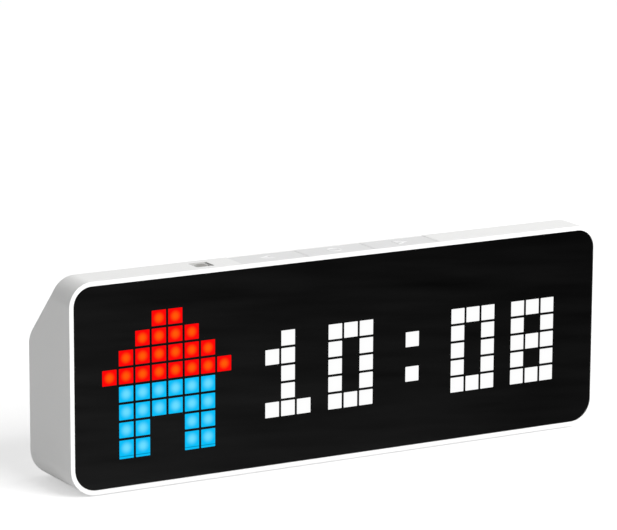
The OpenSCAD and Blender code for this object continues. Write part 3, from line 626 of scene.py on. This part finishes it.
def makeSaddles():
    sizes = innerSet
    cells = [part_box("lower_cell"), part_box("upper_cell")]
    startX, endX = max(low.x for low, high in cells), min(high.x for low, high in cells)
    inset = (endX - startX) * sizes["saddleIn"]
    lower, upper = [(low + high) / 2 for low, high in cells]
    radius = (cells[0][1].z - cells[0][0].z) / 2
    thick = sizes["saddle"] * mm
    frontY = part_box("led_board")[1].y + sizes["saddleClear"] * mm
    floorZ = bodyLow.z + (shellSet["wall"] - sizes["lap"]) * mm
    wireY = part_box("battery_lead")[0].y + sizes["wire"] * mm / 2
    wireZ = (lower.z + upper.z) / 2
    saddles = []
    for x in (startX + inset, endX - inset):
        saddle = addBlock("cellSaddle", (x - thick / 2, frontY, floorZ),
                          (x + thick / 2, lower.y, upper.z + radius / 2))
        for cell in (lower, upper):
            combine(saddle, addRound("cellBed", radius + sizes["saddleGap"] * mm,
                                     (x - thick, cell.y, cell.z), (x + thick, cell.y, cell.z), axisX))
        combine(saddle, addRound("wirePass", (sizes["wire"] / 2 + sizes["wireGap"]) * mm,
                                 (x - thick, wireY, wireZ), (x + thick, wireY, wireZ), axisX,
                                 flats["pilot"]))
        saddles.append(saddle)
    return saddles


def makeShell():
    sizes = shellSet
    shell = bodyForm("housingShell", 0.0, bodyLow.y, True)
    pocketY = bodyLow.y + sizes["pocket"] * mm
    bezelY = pocketY + sizes["bezel"] * mm
    combine(shell, bodyForm("cavity", sizes["wall"] * mm, bezelY))
    combine(shell, frontSlab("windowPocket", sizes["rim"] * mm, bodyLow.y - past, pocketY))
    low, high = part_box("light_grid")
    gap = sizes["gridGap"] * mm
    combine(shell, addBlock("gridOpening", (low.x - gap, bodyLow.y, low.z - gap),
                            (high.x + gap, bezelY + past, high.z + gap)))
    combine(shell, frontSlab("rearOpening", (coverSet["inset"] - coverSet["seam"]) * mm, bezelY + past,
                             bodyHigh.y + past))
    roundEdges(shell, sizes["edge"] * mm)
    cutKeySeat(shell)
    cutSensorWell(shell)
    cutPadRecesses(shell)
    roundEdges(shell, sizes["fineEdge"] * mm, steps["fine"], sizes["fineLimit"])
    weldPoints(shell)
    innerY = bodyHigh.y - coverSet["wall"] * mm
    for form in [makeLedge(bezelY, innerY)] + makePosts(innerY) + makeBosses(bezelY) + makeSaddles():
        combine(shell, form, "UNION")
    smoothPiece(shell)
    return shell


def makeCover():
    sizes = coverSet
    cover = bodyForm("rearCover", 0.0, bodyLow.y, True)
    outerY = bodyHigh.y + past
    combine(cover, frontSlab("coverOutline", sizes["inset"] * mm, bodyLow.y + sizes["front"] * mm, outerY),
            "INTERSECT")
    combine(cover, bodyForm("coverInside", sizes["wall"] * mm, bodyLow.y + past))
    innerY = bodyHigh.y - sizes["wall"] * mm - past
    low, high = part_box("usb_socket")
    gap = sizes["slotGap"] * mm
    slot = addBlock("socketSlot", (low.x - gap, innerY, low.z - gap), (high.x + gap, outerY, high.z + gap))
    bevelEdges(slot, runsAlong(axisY), ((high.z - low.z) / 2 + gap) * endShare, steps["slot"])
    combine(cover, slot)
    low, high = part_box("power_button")
    middle = (low + high) / 2
    combine(cover, addRound("buttonHole", (buttonSet["size"] / 2 + sizes["buttonGap"]) * mm,
                            (middle.x, innerY, middle.z), (middle.x, outerY, middle.z), axisY))
    headY = bodyHigh.y - screwSet["height"] * mm
    for x, z in cornerPlaces("cover_screws", screwSet["head"], axisZ):
        combine(cover, addRound("screwHole", (screwSet["shank"] / 2 + sizes["shankGap"]) * mm,
                                (x, innerY, z), (x, headY + bite, z), axisY, flats["boss"]))
        combine(cover, addRound("screwSink", (screwSet["head"] / 2 + sizes["headGap"]) * mm, (x, headY, z),
                                (x, outerY, z), axisY))
    roundEdges(cover, sizes["edge"] * mm)
    smoothPiece(cover)
    return cover


# four cover screws: pan heads with a cross recess, flush in the cover
screwSet = {"head": 4.8, "height": 1.0, "edge": 0.25, "shank": 2.0, "length": 8.0, "cross": 2.6,
            "slot": 0.6, "deep": 0.6}


def makeScrews():  # one screw, and copies of it at the other places
    sizes = screwSet
    places = cornerPlaces("cover_screws", sizes["head"], axisZ)
    x, z = places[0]
    faceY = bodyHigh.y
    headY = faceY - sizes["height"] * mm
    tipY = headY - sizes["length"] * mm
    screw = addRound("coverScrew", sizes["head"] * mm / 2, (x, headY, z), (x, faceY, z), axisY,
                     flats["head"])
    bevelEdges(screw, liesAt(axisY, faceY), sizes["edge"] * mm, steps["corner"])
    for wide, high in ((sizes["cross"], sizes["slot"]), (sizes["slot"], sizes["cross"])):
        combine(screw, addBlock("cross", (x - wide * mm / 2, faceY - sizes["deep"] * mm, z - high * mm / 2),
                                (x + wide * mm / 2, faceY + past, z + high * mm / 2)))
    shank = addRound("shank", sizes["shank"] * mm / 2, (x, tipY, z), (x, headY + bite, z), axisY,
                     flats["pilot"])
    bevelEdges(shank, liesAt(axisY, tipY), sizes["edge"] * mm, steps["fine"])
    combine(screw, shank, "UNION")
    copies = [copyTo(screw, (otherX - x, 0, otherZ - z)) for otherX, otherZ in places[1:]]
    screws = joinPieces([screw] + copies, "coverScrews")
    smoothPiece(screws)
    return screws


# window sheet inside the rim
windowSet = {"gap": 0.1, "edge": 0.1}


def makeWindow():
    low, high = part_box("front_window")
    sheet = frontSlab("windowSheet", (shellSet["rim"] + windowSet["gap"]) * mm, low.y, high.y)
    roundEdges(sheet, windowSet["edge"] * mm, steps["fine"])
    smoothPiece(sheet)
    return sheet


# three keys in one strip: a cap with a raised mark, and a neck with two snap hooks
keySet = {"gap": 0.15, "seat": 1.1, "recess": 0.1, "cap": 0.5, "corner": 0.4, "edge": 0.1, "endGap": 0.05,
          "seatEdge": 0.12, "neckShort": 2.0, "neckFront": 4.05, "neckRear": 1.8, "hookThick": 0.8,
          "hookReach": 0.75, "hookWide": 4.0, "ringSize": 5.0, "arrowSize": 6.0, "arrowCorners": 3,
          "markLine": 0.66, "markHeight": 0.1}
keyPlan = {"left_key": ("leftKey", "key_left", -1), "select_key": ("selectKey", "key_select", 0),
           "right_key": ("rightKey", "key_right", 1)}  # name, body and the way that an arrow points


def neckSpan(node):  # left, right, front and rear of the neck that goes through the wall
    low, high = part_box(node)
    short = keySet["neckShort"] * mm
    front, rear = bodyLow.y + keySet["neckFront"] * mm, high.y - keySet["neckRear"] * mm
    return low.x + short, high.x - short, front, rear


def makeKey(name, node):
    sizes = keySet
    low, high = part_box(node)
    topZ = bodyHigh.z - sizes["recess"] * mm
    capZ = topZ - sizes["cap"] * mm
    key = addBlock(name, (low.x, low.y, capZ), (high.x, high.y, topZ))
    bevelEdges(key, runsAlong(axisZ), sizes["corner"] * mm, steps["corner"])
    bevelEdges(key, liesAt(axisZ, topZ), sizes["edge"] * mm, steps["edge"])
    left, right, front, rear = neckSpan(node)
    combine(key, addBlock("neck", (left, front, low.z), (right, rear, capZ + bite)), "UNION")
    midY, hookZ = (front + rear) / 2, low.z + bite
    half, thick = sizes["hookWide"] * mm / 2, sizes["hookThick"] * mm
    for way, edgeX in ((-1, left), (1, right)):  # a hook at either end of the neck, sloped below
        tip, root = edgeX + way * sizes["hookReach"] * mm, edgeX - way * thick
        hook = addBlock("hook", (min(root, tip), midY - half, hookZ),
                        (max(root, tip), midY + half, low.z + thick))
        atTip, below = liesAt(axisX, tip), liesAt(axisZ, hookZ)
        bevelEdges(hook, lambda edge: atTip(edge) and below(edge), thick / 2, steps["chamfer"])
        combine(key, hook, "UNION")
    smoothPiece(key)
    return key


def makeMark(name, node, way):  # a flat ring or arrow head, raised above the cap
    sizes = keySet
    low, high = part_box(node)
    size = sizes["arrowSize"] if way else sizes["ringSize"]
    corners = sizes["arrowCorners"] if way else flats["head"]
    place = ((low.x + high.x) / 2, (low.y + high.y) / 2, bodyHigh.z - sizes["recess"] * mm)
    mark = addOutline(name, size * mm / 2, corners, place, -way * quarterTurn)
    pick(mark, "FACE", anyPart)
    bpy.ops.mesh.inset(thickness=sizes["markLine"] * mm)
    bpy.ops.mesh.delete(type="FACE")
    bpy.ops.mesh.select_all(action="SELECT")
    bpy.ops.mesh.extrude_region_move(TRANSFORM_OT_translate={"value": (0, 0, sizes["markHeight"] * mm)})
    faceOutwards()
    smoothPiece(mark)
    return mark


# light sensor: a disc with flats and a folded track on its face, in a square well
sensorSet = {"size": 4.7, "flat": 0.88, "thick": 2.0, "edge": 0.25, "track": 0.28, "trackBars": 5,
             "trackPitch": 0.62, "trackReach": 0.72, "raise": 0.05, "wellSide": 6.6, "wellDepth": 0.45,
             "wellRound": 0.6, "holeGap": 0.3, "linerGap": 0.02, "linerDrop": 0.03, "linerWall": 0.2,
             "linerFloor": 0.08, "lead": 0.5, "leadSpace": 3.4, "leadBend": 0.8, "bendSteps": 6}


def sensorPlace():
    low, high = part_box("light_sensor")
    keyLow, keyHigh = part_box("left_key")
    return (low.x + high.x) / 2, (keyLow.y + keyHigh.y) / 2


def makeSensor():
    sizes = sensorSet
    x, y = sensorPlace()
    low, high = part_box("light_sensor")
    radius = sizes["size"] * mm / 2
    faceZ = high.z - sizes["raise"] * mm
    disc = addRound("sensorDisc", radius, (x, y, high.z - sizes["thick"] * mm), (x, y, faceZ), axisZ)
    combine(disc, addBlock("flats", (x - radius - past, y - radius * sizes["flat"], low.z),
                           (x + radius + past, y + radius * sizes["flat"], high.z + past)), "INTERSECT")
    bevelEdges(disc, liesAt(axisZ, faceZ), sizes["edge"] * mm, steps["edge"])
    smoothPiece(disc)
    return disc


def makeTrack():  # bars across the sensor's face, joined in turn at the front and the rear
    sizes = sensorSet
    x, y = sensorPlace()
    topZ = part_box("light_sensor")[1].z
    lowZ = topZ - sizes["raise"] * mm - bite
    radius, half = sizes["size"] * mm / 2, sizes["track"] * mm / 2
    step, middle = sizes["trackPitch"] * mm, sizes["trackBars"] // 2
    ends = [radius * sizes["trackReach"] * math.sqrt(1 - (i * step / radius) ** 2)
            for i in range(-middle, middle + 1)]
    bars = []
    for i, end in enumerate(ends):
        barX = x + (i - middle) * step
        bars.append(addBlock("trackBar", (barX - half, y - end, lowZ), (barX + half, y + end, topZ)))
        if i < len(ends) - 1:
            turnY = y + (1 if i % 2 else -1) * (min(end, ends[i + 1]) - half)
            bars.append(addBlock("trackTurn", (barX, turnY - half, lowZ), (barX + step, turnY + half, topZ)))
    track = bars[0]
    for bar in bars[1:]:
        combine(track, bar, "UNION")
    track.name = "sensorTrack"
    return track


def makeWellShadeSheet():  # a thin grey frame that lines the well round the disc; its grey is the well's shade, painted
    sizes = sensorSet
    x, y = sensorPlace()
    half = (sizes["wellSide"] / 2 - sizes["linerGap"]) * mm
    wall = sizes["linerWall"] * mm
    floorZ = bodyHigh.z - sizes["wellDepth"] * mm
    liner = addBlock("sensorWellShade", (x - half, y - half, floorZ),
                     (x + half, y + half, bodyHigh.z - sizes["linerDrop"] * mm))
    bevelEdges(liner, runsAlong(axisZ), sizes["wellRound"] * mm, steps["corner"])
    pocket = addBlock("linerPocket", (x - half + wall, y - half + wall, floorZ + sizes["linerFloor"] * mm),
                      (x + half - wall, y + half - wall, bodyHigh.z + past))
    bevelEdges(pocket, runsAlong(axisZ), sizes["wellRound"] * mm - wall, steps["corner"])
    combine(liner, pocket)
    combine(liner, addRound("linerHole", (sizes["size"] / 2 + sizes["holeGap"]) * mm, (x, y, floorZ - past),
                            (x, y, bodyHigh.z), axisZ))
    smoothPiece(liner)
    return liner


def makeLeads():  # two wires from the disc, bent back to the display board
    sizes = sensorSet
    x, y = sensorPlace()
    low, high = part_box("light_sensor")
    radius, bend = sizes["lead"] * mm / 2, sizes["leadBend"] * mm
    startZ, bendZ = high.z - sizes["thick"] * mm / 2, low.z + radius + bend
    leftX = x - sizes["leadSpace"] * mm / 2
    lead = addOutline("lead", radius, flats["lead"], (leftX, y, startZ))
    pick(lead, "FACE", anyPart)
    bpy.ops.mesh.extrude_region_move(TRANSFORM_OT_translate={"value": (0, 0, bendZ - startZ)})
    bpy.ops.mesh.spin(steps=sizes["bendSteps"], angle=-quarterTurn, center=(leftX, y + bend, bendZ),
                      axis=(1, 0, 0))
    bpy.ops.mesh.extrude_region_move(TRANSFORM_OT_translate={"value": (0, high.y - y - bend, 0)})
    faceOutwards()
    leads = joinPieces([lead, copyTo(lead, (sizes["leadSpace"] * mm, 0, 0))], "sensorLeads")
    smoothPiece(leads)
    return leads


# charging socket: drawn shell with a rolled lip, tongue and contacts
socketSet = {"shell": 0.3, "back": 1.0, "lip": 0.08, "tongueWide": 6.7, "tongueThick": 0.7, "tongueIn": 0.6,
             "tongueEdge": 0.12, "pads": 12, "padPitch": 0.5, "padWide": 0.24, "padLong": 2.8, "padIn": 0.4,
             "padRaise": 0.02}


def makeSocket():
    sizes = socketSet
    low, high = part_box("usb_socket")
    middle = (low + high) / 2
    wall, back = sizes["shell"] * mm, sizes["back"] * mm
    half = (high.z - low.z) / 2
    shell = addBlock("socketShell", low, high)
    bevelEdges(shell, runsAlong(axisY), half * endShare, steps["socket"])
    bore = addBlock("bore", (low.x + wall, low.y + back, low.z + wall),
                    (high.x - wall, high.y + past, high.z - wall))
    bevelEdges(bore, runsAlong(axisY), (half - wall) * endShare, steps["socket"])
    combine(shell, bore)
    roundEdges(shell, sizes["lip"] * mm)
    smoothPiece(shell)
    wide, thick = sizes["tongueWide"] * mm / 2, sizes["tongueThick"] * mm / 2
    tipY = high.y - sizes["tongueIn"] * mm
    tongue = addBlock("socketTongue", (middle.x - wide, low.y + back / 2, middle.z - thick),
                      (middle.x + wide, tipY, middle.z + thick))
    roundEdges(tongue, sizes["tongueEdge"] * mm)
    smoothPiece(tongue)
    pads = []
    halfPad, rise = sizes["padWide"] * mm / 2, sizes["padRaise"] * mm
    padFront, padRear = tipY - (sizes["padIn"] + sizes["padLong"]) * mm, tipY - sizes["padIn"] * mm
    for i in range(sizes["pads"]):
        padX = middle.x + (i - (sizes["pads"] - 1) / 2) * sizes["padPitch"] * mm
        for padZ in (middle.z - thick, middle.z + thick):
            pads.append(addBlock("contact", (padX - halfPad, padFront, padZ - rise),
                                 (padX + halfPad, padRear, padZ + rise)))
    return shell, tongue, joinPieces(pads, "socketContacts")


# power button: a dished cap with a flange behind the cover
buttonSet = {"size": 5.0, "flange": 0.8, "rim": 0.5, "dish": 0.25, "dishSteps": 6, "edge": 0.12}


def makeButton():
    sizes = buttonSet
    low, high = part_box("power_button")
    middle = (low + high) / 2
    flangeY = low.y + sizes["flange"] * mm
    insideY = flangeY - sizes["flange"] * mm / 2
    cap = addRound("powerCap", sizes["size"] * mm / 2, (middle.x, insideY, middle.z),
                   (middle.x, high.y, middle.z), axisY)
    pick(cap, "FACE", liesAt(axisY, high.y))
    bpy.ops.mesh.inset(thickness=sizes["rim"] * mm)
    rings = sizes["dishSteps"]
    ringWide = (sizes["size"] / 2 - sizes["rim"]) * mm / rings
    for i in range(rings - 1):  # rings that fall towards the middle as a sphere does
        fall = ((1 - i / rings) ** 2 - (1 - (i + 1) / rings) ** 2) * sizes["dish"] * mm
        bpy.ops.mesh.inset(thickness=ringWide, depth=-fall)
    bpy.ops.object.mode_set(mode="OBJECT")
    rim = liesAt(axisY, high.y)
    bevelEdges(cap, lambda edge: rim(edge) and edge.calc_face_angle(0) > cornerAngle, sizes["edge"] * mm,
               steps["edge"])
    combine(cap, addRound("flange", (high.x - low.x) / 2, (middle.x, low.y, middle.z),
                          (middle.x, flangeY, middle.z), axisY), "UNION")
    smoothPiece(cap)
    return cap


# rubber pads under the base
padSet = {"edge": 0.3, "cornerShare": 0.25}
padPlan = {"left_foot": "leftPad", "right_foot": "rightPad"}


def makePad(name, node):
    low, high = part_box(node)
    pad = addBlock(name, low, high)
    bevelEdges(pad, runsAlong(axisZ), (high.x - low.x) * padSet["cornerShare"], steps["pad"])
    bevelEdges(pad, liesAt(axisZ, low.z), padSet["edge"] * mm, steps["edge"])
    smoothPiece(pad)
    return pad


# what the display shows: a plain house and a time of day, in columns from the left and rows from the top
showSet = {"houseColumn": 1, "roofRows": 4, "wallRows": 4, "doorRows": 2, "doorWide": 2, "time": "10:08",
           "timeColumn": 11, "timeRow": 2, "signGap": 1, "colonGap": 1}
signRows = {"0": "### #.# #.# #.# ###", "1": ".#. ##. .#. .#. ###", "8": "### #.# ### #.# ###",
            ":": ". # . # ."}


def housePixels():  # a gable roof over walls with a door
    show = showSet
    column, wallTop = show["houseColumn"], show["roofRows"]
    roof = [(column + wallTop - 1 - r + i, r) for r in range(wallTop) for i in range(2 * r + 2)]
    wallWide, wallEnd = 2 * wallTop - 2, wallTop + show["wallRows"]
    doorTop, doorLeft = wallEnd - show["doorRows"], (wallWide - show["doorWide"]) // 2
    door = range(doorLeft, doorLeft + show["doorWide"])
    walls = [(column + 1 + i, r) for r in range(wallTop, wallEnd) for i in range(wallWide)
             if r < doorTop or i not in door]
    return roof, walls


def timePixels():
    show = showSet
    lit, column = [], show["timeColumn"]
    for sign in show["time"]:
        rows = signRows[sign].split()
        margin = show["colonGap"] if sign == ":" else 0
        column += margin
        for r, line in enumerate(rows):
            lit += [(column + i, show["timeRow"] + r) for i, dot in enumerate(line) if dot == "#"]
        column += len(rows[0]) + margin + show["signGap"]
    return lit


def makePixels(name, lit):  # one tile for each lit cell
    sizes = pixelSet
    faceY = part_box("front_window")[0].y
    half = (pitch - sizes["gap"] * mm) / 2
    masters = {}
    for lowest, extra in ((False, 0.0), (True, sizes["lowExtra"] * mm)):
        tile = addBlock("tile", (-half, faceY - sizes["thick"] * mm, -half - extra), (half, faceY, half))
        bevelEdges(tile, runsAlong(axisY), sizes["corner"] * mm, steps["fine"])
        masters[lowest] = tile
    tiles = []
    for column, row in lit:
        x = ledLow.x + ledSide / 2 + column * pitch
        z = ledHigh.z - ledSide / 2 - row * pitch
        tiles.append(copyTo(masters[row == sizes["rows"] - 1], (x, 0, z)))
    for tile in masters.values():
        bpy.data.objects.remove(tile, do_unlink=True)
    return joinPieces(tiles, name)


# the white mouldings
whiteAbs = mouldedAbs("mouldedAbsWhite", "#F4F4F3", "#EFEFEE", grit=0.35)
coverAbs = mouldedAbs("mouldedAbsCover", "#F1F1F0", "#ECECEB", grit=0.35)
keyAbs = mouldedAbs("mouldedAbsKey", "#E7E7E7", "#E2E2E2", grit=0.3)
# the marks are of the key's own plastic; their lighter tone is a painted highlight on the raised marks
markHighlightAbs = mouldedAbs("mouldedAbsMarkHighlight", "#F5F5F5", "#F1F1F1", grit=0.3)

dress(makeShell(), whiteAbs, "case", "housing_white", "main_housing")
dress(makeCover(), coverAbs, "case", "cover_white", "rear_cover")
print("shell and cover modelled")

screwSteel = platedMetal("blackedSteelScrew", "#4A4A4C", roughness=0.4, line=0.2)
dress(makeScrews(), screwSteel, "case", "screw_black", "cover_screws")
dress(makeWindow(), smokedAcrylic(), "case", "window_smoked", "front_window")
for node, (name, body, way) in keyPlan.items():
    dress(makeKey(name, node), keyAbs, body, "key_white", node)
    dress(makeMark(name + "Mark", node, way), markHighlightAbs, body, "key_white")
print("screws, window and keys modelled")

sensorFace = mouldedResin("sinteredSensorFace", "#B4B4B1", "#A6A6A3", roughness=0.3, grit=0.4)
trackFilm = mouldedResin("sensorTrackFilm", "#94908A", "#86827C", roughness=0.3, grit=0.3)
# painted shade: the grey of this sheet stands for the shade in the sensor well
wellShadeSheet = mouldedResin("paintedWellShade", "#C6C6C4", "#BEBEBC", roughness=0.6, grit=0.4)
tinnedWire = platedMetal("tinnedWire", "#C4C4C2", roughness=0.3, line=0.2)
dress(makeSensor(), sensorFace, "case", "sensor_face", "light_sensor")
dress(makeTrack(), trackFilm, "case", "sensor_face")
dress(makeWellShadeSheet(), wellShadeSheet, "case", "sensor_face")
dress(makeLeads(), tinnedWire, "case", "nickel_strip")

nickelPlate = platedMetal("nickelPlatedSheet", "#C9C9C6", roughness=0.25, line=0.3)
blackResin = mouldedResin("mouldedEpoxyResin", "#1B1B1C", "#131314", roughness=0.5, grit=0.3)
goldPlate = platedMetal("goldPlatedContact", "#D9B45A", roughness=0.25, line=0.2)
socketShell, socketTongue, socketContacts = makeSocket()
dress(socketShell, nickelPlate, "case", "socket_shell", "usb_socket")
dress(socketTongue, blackResin, "case", "chip_resin")
dress(socketContacts, goldPlate, "case", "nickel_strip")
dress(makeButton(), keyAbs, "key_power", "key_white", "power_button")
rubber = mouldedResin("siliconeRubberPad", "#4A4A4C", "#2E2E30", roughness=0.8, grit=0.8, ior=1.41,
                      detail=4.0, relief=0.3, deep=0.03)  # dark, dull, a little dusty
for node, name in padPlan.items():
    dress(makePad(name, node), rubber, "case", "foot_rubber", node)
print("sensor, rear fittings and pads modelled")

# name, lit cells, colour at the edge and in the middle, reach of the middle in cell widths, record slot
roof, walls = housePixels()
litPlan = (("redPixels", roof, "#FE0709", "#FF5A08", 0.38, "pixel_red"),
           ("bluePixels", walls, "#0BBFF9", "#6ADDFF", 0.42, "pixel_blue"),
           ("whitePixels", timePixels(), "#FDFDFD", "#FFFFFF", 0.5, "pixel_white"))
for name, lit, edge, centre, spread, slot in litPlan:
    dress(makePixels(name, lit), litPixel(name, edge, centre, spread), "case", slot)
print("display lit")

# finishes of the solids inside, which keep their own shape
foamTape = mouldedResin("adhesiveFoamTape", "#202021", "#161617", roughness=0.85, grit=0.25)
frostedFilm = mouldedResin("frostedPolyesterFilm", "#F2F2EE", "#E9E9E4", roughness=0.7, grit=0.3)
blackNylon = mouldedResin("mouldedBlackNylon", "#1A1A1B", "#111112", roughness=0.6, grit=0.5)
nylon = mouldedResin("mouldedNylonNatural", "#E9E4D2", "#DDD7C2", roughness=0.5, grit=0.6)
vinylSleeve = mouldedResin("shrunkVinylSleeve", "#1F5FA8", "#1A5597", roughness=0.25, grit=3.0)
zinc = platedMetal("zincPlatedSteel", "#B8BAB8", roughness=0.3, line=0.2)
wireLow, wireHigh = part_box("battery_lead")
finishNodes(foamTape, "window_tape")
finishNodes(frostedFilm, "diffuser_sheet")
finishNodes(blackNylon, "light_grid", "left_plunger", "select_plunger", "right_plunger", "power_plunger")
finishNodes(maskedFibreglass("maskedFibreglassUpright", (1.0, 0.0, 1.0)), "led_board")
finishNodes(maskedFibreglass("maskedFibreglassLying", (1.0, 1.0, 0.0)), "main_board")
finishNodes(diodePackage(), "leds")
finishNodes(zinc, "led_board_screws", "main_board_screws")
finishNodes(nickelPlate, "key_switches", "power_switch", "radio_module", "battery_tabs")
finishNodes(blackResin, "board_chips", "buzzer")
finishNodes(vinylSleeve, "lower_cell", "upper_cell")
finishNodes(wireJacket((wireLow.y + wireHigh.y) / 2), "battery_lead")
finishNodes(nylon, "battery_header", "battery_plug", "ribbon_sockets")
finishNodes(laminatedFilm(), "display_ribbon")
print("inner solids finished")

# floor and light, in metres: a large soft lamp from the front right, a small one at the right and a weak
# one behind
lampSet = {"front": {"place": (0.9, -2.72, 1.9), "size": 2.2, "power": 126},
           "side": {"place": (0.6, 0.15, 0.35), "size": 0.3, "power": 0.9},
           "rear": {"place": (0.9, 2.4, 0.9), "size": 1.6, "power": 12}}
roomSet = {"floorSide": 12, "floorGap": 0.00002, "floorColor": "#DCDCDC", "floorRoughness": 0.9,
           "floorLift": 0.48, "sky": 0.36}


def seenDirectly(tree):  # 1 where the camera, a reflection or a clear sheet looks, 0 where a surface is lit
    path = addNode(tree, "LightPath").outputs
    seen = path["Is Camera Ray"]
    for ray in ("Is Glossy Ray", "Is Transmission Ray"):
        seen = addNode(tree, "Math", {0: seen, 1: path[ray]}, operation="MAXIMUM")
    return seen


bpy.ops.object.select_all(action="DESELECT")
bpy.ops.mesh.primitive_plane_add(size=roomSet["floorSide"], location=(0, 0, cadLow.z - roomSet["floorGap"]))
floor = bpy.context.object
floor.name = "studioFloor"
floorPaper, tree, shader = newSurface("paperFloor", roomSet["floorColor"], roomSet["floorRoughness"],
                                      {"Specular IOR Level": 0.0,
                                       "Emission Color": hexColor("#FFFFFF")})[:3]
lift = addNode(tree, "Math", {0: seenDirectly(tree), 1: roomSet["floorLift"]}, operation="MULTIPLY")
feed(tree, shader, {"Emission Strength": lift})
floor.data.materials.append(floorPaper)

for name, settings in lampSet.items():
    bpy.ops.object.light_add(type="AREA", location=settings["place"])
    lamp = bpy.context.object
    lamp.name = name + "Lamp"
    lamp.data.size = settings["size"]
    lamp.data.energy = settings["power"]
    lamp.visible_glossy = False  # the even room gives the sheen, so no side of the white case burns out
    lamp.rotation_euler = (-lamp.location).to_track_quat("-Z", "Y").to_euler()

world = bpy.data.worlds.new("studioRoom")
scene.world = world
world.use_nodes = True
tree = world.node_tree
tree.nodes.clear()
level = addNode(tree, "MapRange", {"Value": seenDirectly(tree), "To Min": roomSet["sky"], "To Max": 1.0})
sky = addNode(tree, "Background", {"Strength": level})
addNode(tree, "OutputWorld", {"Surface": sky})
print("floor and light set")
